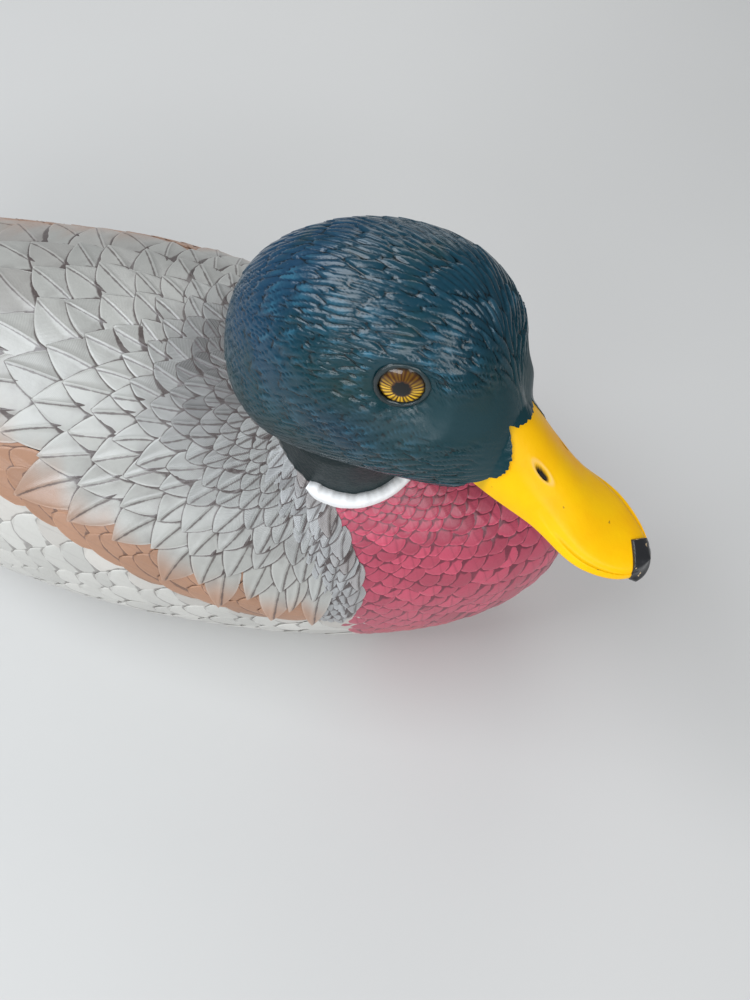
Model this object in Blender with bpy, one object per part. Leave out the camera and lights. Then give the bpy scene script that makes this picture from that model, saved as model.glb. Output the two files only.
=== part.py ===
"""A painted, cast mallard drake decoy resting on its flat base.

Units are metres, +Z is up and the bird faces -Y, so its left side is +X.  The
origin is the middle of the flat base.  Every part is one closed solid, and
neighbours keep a hair's gap where they meet.
"""

from math import asin, cos, copysign, degrees, pi, radians, sin

import bmesh
import bpy
from mathutils import Matrix, Vector

MM = 0.001
GAP = 0.3 * MM

# Hull: the boat-shaped body, flat below and widest near the origin.
HULL_HALF_WIDTH = 69 * MM
HULL_FRONT = 170 * MM
HULL_REAR = 165 * MM
BACK_HEIGHT = 111 * MM
PROW_HEIGHT = 60 * MM
STERN_TOP = 75 * MM
STERN_BOTTOM = 62 * MM
STERN_HALF_WIDTH = 17 * MM
WIDEST_HEIGHT = 50 * MM
# The sections are rounder above than below, where the base cuts them flat.
BACK_POWER = 2.15
BASE_POWER = 2.5
BASE_REACH = 1.1
HULL_POINTS = 26
HULL_STEPS = 26

# Where the painted regions part, from the tail forwards.
RUMP_CUT = 96 * MM
BREAST_CUT = -119 * MM
BREAST_LEAN = 0.17

# Mantle edge: the lip of the large back feathers over the flank feathers.
LIP_HEIGHTS = (
    (-170, 50), (-107, 53), (-80, 58), (-54, 68), (-18, 83), (3, 88), (50, 89), (160, 80),
)
LIP_STEP = 2.0 * MM
LIP_REACH = 0.35

# Neck, the mound that it rises from, and the collar round it.
NECK_FOOT = Vector((-3.5, -93, 83)) * MM
NECK_TOP = Vector((-13.0, -98.5, 134)) * MM
NECK_HALF_WIDTH = 25 * MM
NECK_HALF_DEPTH = 28.5 * MM
NECK_TAPER = 0.84
NECK_FLARE = 0.08
NECK_POINTS = 22
NECK_MOUND = 8 * MM
NECK_MOUND_RADIUS = 58 * MM
COLLAR_SHARE = 0.28
COLLAR_BAND = 4.2 * MM
COLLAR_STEP = 1.2 * MM

# Head, in its own frame: x to the bird's left, -y forwards, z up.
HEAD_PLACE = Vector((-14.5, -108, 149.5)) * MM
HEAD_TURN = radians(15.5)
HEAD_NOD = radians(0.5)
HEAD_ROLL = radians(5)
HEAD_BACK = 41 * MM
HEAD_HALF_WIDTH = 24.5 * MM
HEAD_CROWN = 31 * MM
HEAD_CHIN = 31 * MM
NAPE_HEIGHT = -8 * MM
CHEEK_HEIGHT = -6 * MM
EYE_HOLLOW = 0.14
HEAD_LEAN = 0.18
HOLLOW_REACH = 17 * MM
HEAD_POINTS = 36

# Bill, in the head's frame.
BILL_ROOT = 37 * MM
BILL_POINTS = 20
BILL_TIP = 76.5 * MM
BILL_ROOT_HALF = 11.2 * MM
BILL_WAIST_HALF = 10.5 * MM
BILL_SPOON_HALF = 12.5 * MM
CULMEN_ROOT = 4.5 * MM
CULMEN_TIP = -20 * MM
EDGE_ROOT = -13 * MM
EDGE_TIP = -23.5 * MM
NAIL_START = 72.6 * MM
LOWER_BILL_DEPTH = 3.5 * MM
LOWER_BILL_INSET = 1.6 * MM
LOWER_BILL_END = 72 * MM
BILL_BURIED = 28 * MM
BILL_RIM = 1 * MM
FEATHER_STEP = 0.4 * MM

# How far forwards the feathers reach round the bill: degrees from the
# forehead, and the distance ahead of the head's middle in millimetres.
FEATHER_EDGE = (
    (0, 38.5), (15, 38.0), (29, 35.4), (42, 38.2), (54, 39.4), (66, 39.2),
    (84, 36.8), (98, 33.4), (112, 31.5), (140, 34.0), (180, 35.0),
)

# Eyes: shallow domes set in the sides of the head.
EYE_AHEAD = 13.4 * MM
EYE_HEIGHT = 12 * MM
EYE_ANGLE = radians(33)
EYE_INSET = 1.2 * MM
EYE_POINTS = 16
SOCKET_REACH = 20 * MM
EYE_RADIUS = 5.1 * MM
EYE_DOME = 1.6 * MM
EYE_DEPTH = 4 * MM
EYE_FORWARD = radians(27)
EYE_UP = radians(6)

# Wings folded along the back, the tail fan, and the curled rump feathers.
WING_START = 48 * MM
WING_END = 132 * MM
WING_THICKNESS = 1.8 * MM
WING_DEPTH = 3 * MM
WING_EDGE = 0.10
WING_TIP_ANGLE = 1.15
WING_RIDGE_ANGLE = 1.40
WING_STEPS = 10
WING_POINTS = 6
TAIL_START = 132 * MM
TAIL_END = 205 * MM
TAIL_HALF_WIDTH = 36 * MM
TAIL_HEIGHT = 66 * MM
TAIL_RISE = radians(6)
TAIL_THICKNESS = 7 * MM
CURL_RADIUS = 11 * MM
CURL_BAR = 1.6 * MM
CURL_WIDTH = 2.4
CURL_START = radians(-70)
CURL_END = radians(190)
CURL_STEPS = 11
CURL_POINTS = 8
CURL_PLACE = Vector((7, 151, 86)) * MM


def superpoint(angle, upper_power, lower_power):
    """Unit superellipse point, with its own power above and below."""
    c = cos(angle)
    s = sin(angle)
    power = upper_power if s >= 0 else lower_power
    return (
        copysign(abs(c) ** (2 / power), c),
        copysign(abs(s) ** (2 / power), s),
    )


def smooth(t):
    t = min(1.0, max(0.0, t))
    return t * t * (3 - 2 * t)


def mix(a, b, t):
    return a + (b - a) * t


def arch(t, power, sharpness):
    """Falls from 1 at t = 0 to 0 at t = 1."""
    return max(0.0, 1 - abs(t) ** power) ** sharpness


def read_table(table, place):
    """Smooth reading between the rows of a short table."""
    if place <= table[0][0]:
        return table[0][1]
    for (start, low), (end, high) in zip(table, table[1:]):
        if place <= end:
            return mix(low, high, smooth((place - start) / (end - start)))
    return table[-1][1]


def line_table(table, place):
    """Straight reading between the rows of a short table."""
    for (start, low), (end, high) in zip(table, table[1:]):
        if place <= end:
            return mix(low, high, max(0.0, (place - start) / (end - start)))
    return table[-1][1]


def material(name, colour, roughness):
    finish = bpy.data.materials.new(name)
    finish.use_nodes = True
    shader = finish.node_tree.nodes["Principled BSDF"]
    shader.inputs["Base Color"].default_value = (*colour, 1)
    shader.inputs["Roughness"].default_value = roughness
    shader.inputs["Metallic"].default_value = 0
    return finish


def loft(name, rings, finish=None):
    """Closed solid through rings of points, fanned shut at both ends."""
    mesh = bmesh.new()
    rows = [[mesh.verts.new(point) for point in ring] for ring in rings]
    count = len(rows[0])
    for row, following in zip(rows, rows[1:]):
        for i in range(count):
            j = (i + 1) % count
            mesh.faces.new((row[i], row[j], following[j], following[i]))
    for row in (rows[0], rows[-1]):
        middle = sum((vert.co for vert in row), Vector()) / count
        hub = mesh.verts.new(middle)
        for i in range(count):
            mesh.faces.new((row[i], row[(i + 1) % count], hub))
    bmesh.ops.remove_doubles(mesh, verts=mesh.verts, dist=0.01 * MM)
    bmesh.ops.triangulate(mesh, faces=mesh.faces)
    bmesh.ops.recalc_face_normals(mesh, faces=mesh.faces)
    return finished(name, mesh, finish)


def finished(name, mesh, finish):
    data = bpy.data.meshes.new(name)
    mesh.to_mesh(data)
    mesh.free()
    thing = bpy.data.objects.new(name, data)
    bpy.context.collection.objects.link(thing)
    if finish:
        data.materials.append(finish)
        data.shade_smooth()
        data.set_sharp_from_angle(angle=radians(40))
    else:
        thing.hide_render = True
        thing.display_type = "WIRE"
    return thing


def carve(thing, *cutters):
    for cutter in cutters:
        cut = thing.modifiers.new("cut by " + cutter.name, "BOOLEAN")
        cut.operation = "DIFFERENCE"
        cut.solver = "EXACT"
        cut.object = cutter


def slice_off(thing, point, normal):
    """Removes what lies ahead of a plane and closes the cut."""
    mesh = bmesh.new()
    mesh.from_mesh(thing.data)
    everything = mesh.verts[:] + mesh.edges[:] + mesh.faces[:]
    cut = bmesh.ops.bisect_plane(
        mesh, geom=everything, plane_co=point, plane_no=normal, clear_outer=True
    )
    rim = [item for item in cut["geom_cut"] if isinstance(item, bmesh.types.BMEdge)]
    cap = bmesh.ops.contextual_create(mesh, geom=rim)
    bmesh.ops.triangulate(mesh, faces=cap["faces"])
    bmesh.ops.recalc_face_normals(mesh, faces=mesh.faces)
    mesh.to_mesh(thing.data)
    mesh.free()


def hull_outline(y):
    """Half-width, top, bottom and widest height of the hull at y."""
    if y < 0:
        t = min(1.0, -y / HULL_FRONT)
        half = HULL_HALF_WIDTH * arch(t, 1.7, 0.5)
        top = mix(PROW_HEIGHT, BACK_HEIGHT, arch(t, 3.2, 0.5))
        bottom = PROW_HEIGHT * (1 - arch(max(0.0, t - 0.5) / 0.5, 2.2, 0.5))
        return half, top, bottom, mix(WIDEST_HEIGHT, PROW_HEIGHT, t * t)
    t = min(1.0, y / HULL_REAR)
    half = mix(STERN_HALF_WIDTH, HULL_HALF_WIDTH, arch(t, 2.6, 0.9))
    top = mix(STERN_TOP, BACK_HEIGHT, arch(t, 1.9, 1.0))
    bottom = STERN_BOTTOM * (1 - arch(max(0.0, t - 0.4) / 0.6, 2.0, 0.8))
    return half, top, bottom, mix(WIDEST_HEIGHT, (STERN_TOP + STERN_BOTTOM) / 2, t * t)


def mound(x, y):
    """Rise of the hull towards the neck root."""
    away = Vector((x - NECK_FOOT.x, y - NECK_FOOT.y, 0)).length
    return NECK_MOUND * smooth(1 - away / NECK_MOUND_RADIUS)


def lip_height(y):
    return line_table(LIP_HEIGHTS, y / MM) * MM


def lip_angle(y):
    """Angle of the mantle's lip on the section at y."""
    half, top, bottom, widest = hull_outline(y)
    rise = lip_height(y) - widest
    if rise >= 0:
        return asin(min(1.0, rise / (top - widest)) ** (BACK_POWER / 2))
    return -asin(min(1.0, -rise / (BASE_REACH * (widest - bottom))) ** (BASE_POWER / 2))


def hull_point(y, angle, swell=0.0):
    """Point of the hull's section at y, at an angle from +X through +Z."""
    half, top, bottom, widest = hull_outline(y)
    across, up = superpoint(angle, BACK_POWER, BASE_POWER)
    x = (half + swell) * across
    if up >= 0:
        z = widest + (top + swell - widest) * up + mound(x, y) * up
    else:
        z = max(bottom - swell, widest + BASE_REACH * (widest - bottom + swell) * up)
    return Vector((x, y, z))


def hull_stations():
    """Places along the hull, closer together towards its blunt ends."""
    for i in range(HULL_STEPS + 1):
        swing = mix(-0.48, 0.48, i / HULL_STEPS) * pi
        yield sin(swing) * (HULL_FRONT if swing < 0 else HULL_REAR)


def mantle_point(y, angle, start, swell=0.0):
    """Hull point standing proud towards the mantle's lip."""
    nearness = 1 - min(angle - start, pi - start - angle) / LIP_REACH
    return hull_point(y, angle, LIP_STEP * smooth(nearness) + swell)


def hull_solid(name, kind, finish=None, swell=0.0):
    """Loft of the whole hull, or of what lies above or below the lip."""
    rings = []
    for y in hull_stations():
        start = lip_angle(y)
        ring = []
        for i in range(HULL_POINTS):
            if kind == "whole":
                ring.append(hull_point(y, 2 * pi * i / HULL_POINTS, swell))
                continue
            share = i / (HULL_POINTS - 1)
            if kind == "upper":
                angle = mix(start, pi - start, share)
                ring.append(mantle_point(y, angle, start, swell))
            else:
                point = hull_point(y, mix(pi - start, 2 * pi + start, share))
                point.z = min(point.z, lip_height(y) - GAP)
                ring.append(point)
        rings.append(ring)
    return loft(name, rings, finish)


def make_hull(paints, neck_rooms):
    """Breast, back, belly and rump, parted by planes and by the lip."""
    forwards = Vector((0, -1, BREAST_LEAN)).normalized()
    backwards = Vector((0, 1, 0))
    breast_plane = Vector((0, BREAST_CUT, 0))
    rump_plane = Vector((0, RUMP_CUT, 0))

    breast = hull_solid("breast", "whole", paints["burgundy"])
    slice_off(breast, breast_plane + forwards * GAP / 2, -forwards)
    rump = hull_solid("rump", "whole", paints["black"])
    slice_off(rump, rump_plane + backwards * GAP / 2, -backwards)
    back = hull_solid("back", "upper", paints["warm grey"])
    belly = hull_solid("belly", "lower", paints["cream"])
    for middle in (back, belly):
        slice_off(middle, breast_plane - forwards * GAP / 2, forwards)
        slice_off(middle, rump_plane - backwards * GAP / 2, backwards)
    carve(breast, *neck_rooms)
    carve(back, *neck_rooms)


def neck_rings(swell, start, end, steps):
    """Oval rings round the neck between two shares of its length."""
    axis = NECK_TOP - NECK_FOOT
    turn = axis.to_track_quat("Z", "Y")
    rings = []
    for i in range(steps + 1):
        share = mix(start, end, i / steps)
        slim = mix(1.0, NECK_TAPER, smooth(share)) + NECK_FLARE * (1 - min(1.0, 2 * share)) ** 2
        ring = []
        for k in range(NECK_POINTS):
            swing = 2 * pi * k / NECK_POINTS
            across = (NECK_HALF_WIDTH * slim + swell) * cos(swing)
            along = (NECK_HALF_DEPTH * slim + swell) * sin(swing)
            ring.append(NECK_FOOT + axis * share + turn @ Vector((across, along, 0)))
        rings.append(ring)
    return rings


def make_neck(paints, head_room):
    neck = loft("neck", neck_rings(0, 0, 1, 6), paints["dark green"])
    carve(neck, head_room)
    length = (NECK_TOP - NECK_FOOT).length
    low = COLLAR_SHARE
    high = low + COLLAR_BAND / length
    collar = loft("collar", neck_rings(COLLAR_STEP, low, high, 2), paints["white"])
    hole = loft("collar_hole", neck_rings(GAP, low - 0.1, high + 0.1, 3))
    carve(collar, hole)
    return neck


def make_neck_rooms():
    """The clearances in the hull for the neck and for the collar."""
    length = (NECK_TOP - NECK_FOOT).length
    high = COLLAR_SHARE + (COLLAR_BAND + GAP) / length
    low = COLLAR_SHARE - GAP / length
    shaft = loft("neck_room", neck_rings(GAP, -GAP / length, 1, 6))
    rim = loft("collar_room", neck_rings(COLLAR_STEP + GAP, low, high, 2))
    return shaft, rim


def head_frame():
    return (
        Matrix.Translation(HEAD_PLACE)
        @ Matrix.Rotation(-HEAD_TURN, 4, "Z")
        @ Matrix.Rotation(HEAD_NOD, 4, "X")
        @ Matrix.Rotation(HEAD_ROLL, 4, "Y")
    )


def bill_outline(forward):
    """Half-width, ridge height and edge height of the bill."""
    s = (forward - BILL_ROOT) / (BILL_TIP - BILL_ROOT)
    waist = mix(BILL_ROOT_HALF, BILL_WAIST_HALF, smooth(s / 0.35))
    half = mix(waist, BILL_SPOON_HALF, smooth((s - 0.3) / 0.42))
    half *= arch(max(0.0, (s - 0.5) / 0.5), 2.0, 0.5)
    ridge = mix(CULMEN_TIP, CULMEN_ROOT, max(0.0, 1 - s) ** 1.6)
    if s < 0:
        ridge = CULMEN_ROOT - 1.6 * s * (CULMEN_ROOT - CULMEN_TIP)
    edge = mix(EDGE_ROOT, EDGE_TIP, s)
    return half, ridge, edge


def head_outline(forward):
    """Half-width, top, bottom and widest height of the head."""
    if forward < 0:
        t = min(1.0, -forward / HEAD_BACK)
        half = HEAD_HALF_WIDTH * arch(t, 2.3, 0.5)
        top = mix(NAPE_HEIGHT, HEAD_CROWN, arch(t, 2.3, 0.5))
        bottom = mix(NAPE_HEIGHT, -HEAD_CHIN, arch(t, 3.0, 0.5))
        return half, top, bottom, mix(CHEEK_HEIGHT, NAPE_HEIGHT, t)
    root_half, root_top, root_edge = bill_outline(BILL_ROOT)
    t = forward / BILL_ROOT
    half = mix(root_half + FEATHER_STEP, HEAD_HALF_WIDTH, 1 - t ** 2.6)
    top = mix(root_top + FEATHER_STEP, HEAD_CROWN, 1 - t ** 2.8)
    root_bottom = root_edge - LOWER_BILL_DEPTH - FEATHER_STEP
    bottom = mix(root_bottom, -HEAD_CHIN, 1 - t ** 1.4)
    return half, top, bottom, mix(CHEEK_HEIGHT, root_edge + 3 * MM, t ** 2)


def head_point(forward, angle, swell=0.0):
    half, top, bottom, widest = head_outline(forward)
    across, up = superpoint(angle, 2.1, 2.3)
    reach = top + swell - widest if up >= 0 else widest - bottom + swell
    place = Vector(((half + swell) * across, -forward, widest + reach * up))
    settle = 1 if forward < 0 else 1 - (forward / BILL_ROOT) ** 2
    place.y -= HEAD_LEAN * place.z * settle
    away = (Vector((0, place.y + EYE_AHEAD, place.z - EYE_HEIGHT)).length) / HOLLOW_REACH
    place.x *= 1 - EYE_HOLLOW * smooth(1 - away)
    return place


def feather_edge(angle):
    """How far forwards the head's feathers reach at an angle."""
    from_top = abs((degrees(angle) - 90 + 180) % 360 - 180)
    return read_table(FEATHER_EDGE, from_top) * MM


def head_solid(name, swell, finish=None):
    rings = []
    for i in range(1, 23):
        swing = pi / 2 * (1 - i / 11)
        ring = []
        for k in range(HEAD_POINTS):
            angle = 2 * pi * k / HEAD_POINTS
            if swing >= 0:
                forward = -HEAD_BACK * sin(swing)
            else:
                forward = -sin(swing) * feather_edge(angle) + swell
            ring.append(head_frame() @ head_point(forward, angle, swell))
        rings.append(ring)
    return loft(name, rings, finish)


def bill_ring(forward, inset=0.0, depth=None):
    """Section of the upper bill, or of the lower when a depth is given."""
    half, ridge, edge = bill_outline(forward)
    half = max(GAP, half - inset)
    ring = []
    for k in range(BILL_POINTS):
        across, up = superpoint(2 * pi * k / BILL_POINTS, 2.0, 2.6)
        if depth is None:
            z = edge + (ridge - edge if up >= 0 else BILL_RIM) * up
        else:
            z = edge - BILL_RIM - GAP + depth * min(0.0, up)
        ring.append(head_frame() @ Vector((half * across, -forward, z)))
    return ring


def make_bill(paints, head_room):
    def upper(name, first, last, steps, finish):
        rings = []
        for i in range(steps + 1):
            rings.append(bill_ring(mix(first, last, 1 - (1 - i / steps) ** 1.7)))
        return loft(name, rings, finish)

    bill = upper("bill_upper", BILL_BURIED, NAIL_START - GAP, 13, paints["yellow"])
    carve(bill, head_room)
    upper("bill_nail", NAIL_START, BILL_TIP, 4, paints["gloss black"])
    rings = []
    for i in range(7):
        forward = mix(BILL_BURIED, LOWER_BILL_END, 1 - (1 - i / 6) ** 1.6)
        rings.append(bill_ring(forward, LOWER_BILL_INSET, LOWER_BILL_DEPTH))
    lower = loft("bill_lower", rings, paints["yellow"])
    carve(lower, head_room)


def plug(name, frame, profile, finish=None):
    """Round plug turned from (radius, height) pairs about the frame's z axis."""
    rings = []
    for radius, height in profile:
        ring = []
        for k in range(EYE_POINTS):
            swing = 2 * pi * k / EYE_POINTS
            ring.append(frame @ Vector((radius * cos(swing), radius * sin(swing), height)))
        rings.append(ring)
    return loft(name, rings, finish)


def make_eyes(paints, head):
    eye_profile = (
        (EYE_RADIUS, -EYE_DEPTH),
        (EYE_RADIUS, 0),
        (0.8 * EYE_RADIUS, 0.4 * EYE_DOME),
        (0.45 * EYE_RADIUS, 0.85 * EYE_DOME),
    )
    socket_radius = EYE_RADIUS + GAP
    socket_profile = (
        (socket_radius, -EYE_DEPTH - GAP),
        (socket_radius, SOCKET_REACH),
    )
    for name, side in (("eye_left", 1), ("eye_right", -1)):
        outwards = Vector((side * cos(EYE_FORWARD), -sin(EYE_FORWARD), sin(EYE_UP)))
        place = head_point(EYE_AHEAD, pi / 2 - side * (pi / 2 - EYE_ANGLE), -EYE_INSET)
        turn = outwards.to_track_quat("Z", "Y").to_matrix().to_4x4()
        frame = head_frame() @ Matrix.Translation(place) @ turn
        plug(name, frame, eye_profile, paints["amber"])
        carve(head, plug(name + "_socket", frame, socket_profile))


def make_wings(paints, *rooms):
    """Folded wings along the back, their tips meeting over the rump."""
    for name, side in (("wing_left", 1), ("wing_right", -1)):
        rings = []
        for i in range(WING_STEPS + 1):
            share = i / WING_STEPS
            y = mix(WING_START, WING_END, share)
            start = lip_angle(y)
            swell = WING_THICKNESS * min(1.0, 0.6 + 3 * share, 0.6 + 3 * (1 - share))
            low = mix(start + WING_EDGE, WING_TIP_ANGLE, smooth((share - 0.4) / 0.6))
            high = mix(low + 0.15, WING_RIDGE_ANGLE, smooth(share / 0.3))
            angles = [mix(low, high, k / (WING_POINTS - 1)) for k in range(WING_POINTS)]
            ring = [mantle_point(y, angle, start, swell) for angle in angles]
            ring += [hull_point(y, angle, -WING_DEPTH) for angle in reversed(angles)]
            rings.append([Vector((side * p.x, p.y, p.z)) for p in ring])
        wing = loft(name, rings, paints["wing brown"])
        carve(wing, *rooms)


def make_tail(paints, hull_room):
    rings = []
    for i in range(9):
        share = i / 8
        y = mix(TAIL_START, TAIL_END, share)
        half = TAIL_HALF_WIDTH * (0.55 + 0.45 * smooth(share / 0.6))
        half *= arch(max(0.0, (share - 0.6) / 0.4), 2.0, 0.35) * 0.9 + 0.1
        thick = mix(TAIL_THICKNESS, 2 * MM, share)
        lift = TAIL_HEIGHT + sin(TAIL_RISE) * (y - TAIL_START)
        ring = []
        for k in range(20):
            across, up = superpoint(2 * pi * k / 20, 2.2, 2.2)
            droop = 0.12 * abs(across) ** 2 * half
            ring.append(Vector((half * across, y, lift - droop + thick * up)))
        rings.append(ring)
    tail = loft("tail", rings, paints["pale grey"])
    carve(tail, hull_room)


def make_curls(paints, hull_room):
    """The two curled feathers that a drake carries on its rump."""
    for name, side in (("curl_left", 1), ("curl_right", -1)):
        middle = Vector((side * CURL_PLACE.x, CURL_PLACE.y, CURL_PLACE.z))
        rings = []
        for i in range(CURL_STEPS + 1):
            share = i / CURL_STEPS
            swing = mix(CURL_START, CURL_END, share)
            outwards = Vector((0, cos(swing), sin(swing)))
            bar = CURL_BAR * mix(1.0, 0.35, share ** 2)
            ring = []
            for k in range(CURL_POINTS):
                turn = 2 * pi * k / CURL_POINTS
                across = Vector((side * CURL_WIDTH * sin(turn), 0, 0))
                ring.append(
                    middle + outwards * (CURL_RADIUS + bar * cos(turn)) + across * bar
                )
            rings.append(ring)
        carve(loft(name, rings, paints["gloss black"]), hull_room)


def make_paints():
    return {
        "burgundy": material("burgundy paint", (0.22, 0.03, 0.04), 0.45),
        "warm grey": material("warm grey paint", (0.42, 0.39, 0.33), 0.4),
        "cream": material("cream paint", (0.62, 0.58, 0.50), 0.45),
        "black": material("black paint", (0.02, 0.02, 0.025), 0.45),
        "dark green": material("dark green paint", (0.005, 0.03, 0.03), 0.35),
        "white": material("white paint", (0.8, 0.8, 0.78), 0.5),
        "yellow": material("yellow paint", (0.75, 0.50, 0.01), 0.35),
        "gloss black": material("gloss black paint", (0.01, 0.01, 0.012), 0.25),
        "amber": material("amber glass", (0.35, 0.18, 0.02), 0.08),
        "wing brown": material("wing brown paint", (0.22, 0.18, 0.15), 0.45),
        "pale grey": material("pale grey paint", (0.66, 0.63, 0.58), 0.45),
    }


def main():
    for thing in list(bpy.data.objects):
        bpy.data.objects.remove(thing, do_unlink=True)
    paints = make_paints()
    head_room = head_solid("head_room", GAP)
    hull_room = hull_solid("hull_room", "whole", swell=GAP)
    mantle_room = hull_solid("mantle_room", "upper", swell=GAP)
    make_hull(paints, make_neck_rooms())
    make_neck(paints, head_room)
    head = head_solid("head", 0, paints["dark green"])
    make_bill(paints, head_room)
    make_eyes(paints, head)
    make_wings(paints, hull_room, mantle_room)
    make_tail(paints, hull_room)
    make_curls(paints, hull_room)


main()
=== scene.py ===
"""Looks of the painted mallard drake decoy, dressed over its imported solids.

Lengths are millimetres in the design code and metres in Blender.  The bird faces -Y, its left side
is +X, and it rests on z = 0.
"""

from math import cos, degrees, pi, radians, sin

import bpy
import numpy as np
from mathutils import Matrix, Vector


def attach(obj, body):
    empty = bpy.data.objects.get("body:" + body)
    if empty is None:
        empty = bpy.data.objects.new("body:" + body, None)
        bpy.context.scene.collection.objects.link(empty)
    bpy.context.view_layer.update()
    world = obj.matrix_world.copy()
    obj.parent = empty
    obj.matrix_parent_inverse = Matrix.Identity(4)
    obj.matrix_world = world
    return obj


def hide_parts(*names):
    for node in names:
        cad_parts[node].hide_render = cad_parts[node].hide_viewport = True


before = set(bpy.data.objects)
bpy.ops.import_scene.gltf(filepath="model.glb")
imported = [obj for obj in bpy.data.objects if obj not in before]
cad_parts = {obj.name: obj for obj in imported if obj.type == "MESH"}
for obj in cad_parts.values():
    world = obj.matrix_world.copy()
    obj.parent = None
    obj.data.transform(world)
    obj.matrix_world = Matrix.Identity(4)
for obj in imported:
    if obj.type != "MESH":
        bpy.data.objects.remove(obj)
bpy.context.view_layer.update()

MM = 0.001
chance = np.random.default_rng(7)

# Hull of the body, as in the solids.  Powers near 2 give round sections, higher ones squarer sections.
HULL_HALF_WIDTH = 69.0
HULL_FRONT = 170.0
HULL_REAR = 165.0
BACK_HEIGHT = 111.0
PROW_HEIGHT = 60.0
STERN_TOP = 75.0
STERN_BOTTOM = 62.0
STERN_HALF_WIDTH = 17.0
WIDEST_HEIGHT = 50.0
BACK_POWER = 2.15
BASE_POWER = 2.5
BASE_REACH = 1.1
PROW_STEEPNESS = 6.0
PROW_LIMIT = 0.997
LONGEST_MOVE = 6.0

# The lip is the edge of the mantle above the flanks: height by y.
LIP = np.array([(-170, 50), (-107, 53), (-80, 58), (-54, 68), (-18, 83), (3, 88), (50, 89), (160, 80)], float)
LIP_STEP = 2.0
LIP_FADE = 24.0
SETTLE = 2.6

# Neck and collar.
NECK_FOOT = np.array((-3.5, -93.0, 83.0))
NECK_TOP = np.array((-13.0, -98.5, 134.0))
NECK_HALF_WIDTH = 25.0
NECK_HALF_DEPTH = 28.5
NECK_TAPER = 0.84
NECK_FLARE = 0.08
NECK_MOUND = 8.0
NECK_MOUND_RADIUS = 58.0
COLLAR_BAND = 4.2

# Head and bill, in the head's frame: x to the bird's left, -y forwards, z up.
HEAD_PLACE = Vector((-14.5, -108, 149.5))
HEAD_TURN = radians(15.5)
HEAD_NOD = radians(0.5)
HEAD_ROLL = radians(5)
HEAD_BACK = 41.0
HEAD_HALF_WIDTH = 24.5
HEAD_CROWN = 31.0
HEAD_CHIN = 31.0
NAPE_HEIGHT = -8.0
CHEEK_HEIGHT = -6.0
EYE_HOLLOW = 0.14
HEAD_LEAN = 0.18
HOLLOW_REACH = 17.0
BILL_ROOT = 37.0
BILL_TIP = 76.5
BILL_ROOT_HALF = 11.2
BILL_WAIST_HALF = 10.5
BILL_SPOON_HALF = 12.5
CULMEN_ROOT = 4.5
CULMEN_TIP = -20.0
EDGE_ROOT = -13.0
EDGE_TIP = -23.5
NAIL_APEX = (1.4, 70.6)
NAIL_SLOPES = (0.65, 0.80)
NAIL_SIDES = (-4.9, 5.9)
LOWER_BILL_DEPTH = 3.5
# Where the head's feathers end over the bill: forward place by degrees from the top.
FEATHER_EDGE = np.array([
    (0, 38.9), (10, 38.5), (19, 37.7), (26, 36.0), (32, 38.2), (45, 39.7), (60, 40.0),
    (72, 39.3), (84, 36.9), (93, 33.7), (108, 30.6), (140, 33.0), (180, 35.0),
])
FEATHERS_OVER_BILL = 0.55
LEFT_FEATHERS_OVER_BILL = 0.15
FEATHER_STEP = 0.4
HEAD_TOP_POWER = 2.1
HEAD_CHIN_POWER = 2.3
EYE_AHEAD = 13.4
EYE_HEIGHT = 12.0
EYE_ANGLE = radians(33)
EYE_INSET = 1.2
EYE_RADIUS = 5.1
EYE_FORWARD = radians(27)
EYE_UP = radians(6)
EYE_DOME = 1.6

# Paints, as linear colours.
CREAM_GREY = np.array((0.375, 0.37, 0.345))
SILVER_GREY = np.array((0.40, 0.405, 0.41))
COOL_GREY = np.array((0.32, 0.33, 0.335))
DARK_GREY = np.array((0.115, 0.112, 0.11))
MAUVE = np.array((0.27, 0.20, 0.18))
TAN = np.array((0.355, 0.192, 0.118))
FLANK_CREAM = np.array((0.57, 0.555, 0.52))
BURGUNDY = np.array((0.44, 0.058, 0.105))
BRIGHT_RED = np.array((0.49, 0.046, 0.072))
# The wash colours darken the feathers' recesses: partly a real dark wash, partly painted shade.
WASH_AND_SHADE = np.array((0.050, 0.030, 0.028))
RED_WASH_AND_SHADE = np.array((0.085, 0.012, 0.026))
BLACK = np.array((0.012, 0.012, 0.014))
TAIL_WHITE = np.array((0.60, 0.57, 0.50))
WING_BROWN = np.array((0.12, 0.085, 0.06))
SPECULUM_BLUE = np.array((0.012, 0.035, 0.24))
HEAD_GREEN = np.array((0.002, 0.031, 0.040))
HEAD_BLUE = np.array((0.006, 0.040, 0.085))
NECK_GREEN = np.array((0.003, 0.013, 0.012))


# ---------------------------------------------------------------- helpers

def smooth(t):
    """Rises from 0 to 1 as t does, with a level start and end."""
    t = np.clip(t, 0.0, 1.0)
    return t * t * (3 - 2 * t)


def mix(a, b, t):
    """The way from a to b at the share t."""
    return a + (b - a) * t


def blend_rows(a, b, t):
    """Mix of two colours, or rows of colours, by a share for each row."""
    return a + (b - a) * np.asarray(t)[..., None]


def arch(t, power, sharpness):
    """Falls from 1 at t = 0 to 0 at t = 1."""
    return np.clip(1 - np.abs(t) ** power, 0, None) ** sharpness


def bell(value, centre, width):
    """Falls from 1 at the centre to nearly 0 at two widths on either side."""
    return np.exp(-((value - centre) / width) ** 2)


def unit(v):
    return v / np.maximum(np.linalg.norm(v, axis=-1, keepdims=True), 1e-9)


def dot(a, b):
    return (a * b).sum(-1, keepdims=True)


def superpoint(angle, upper_power, lower_power):
    """Across and up shares of a rounded section, at an angle from across through up."""
    c, s = np.cos(angle), np.sin(angle)
    power = np.where(s >= 0, upper_power, lower_power)
    return np.sign(c) * np.abs(c) ** (2 / power), np.sign(s) * np.abs(s) ** (2 / power)


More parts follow.
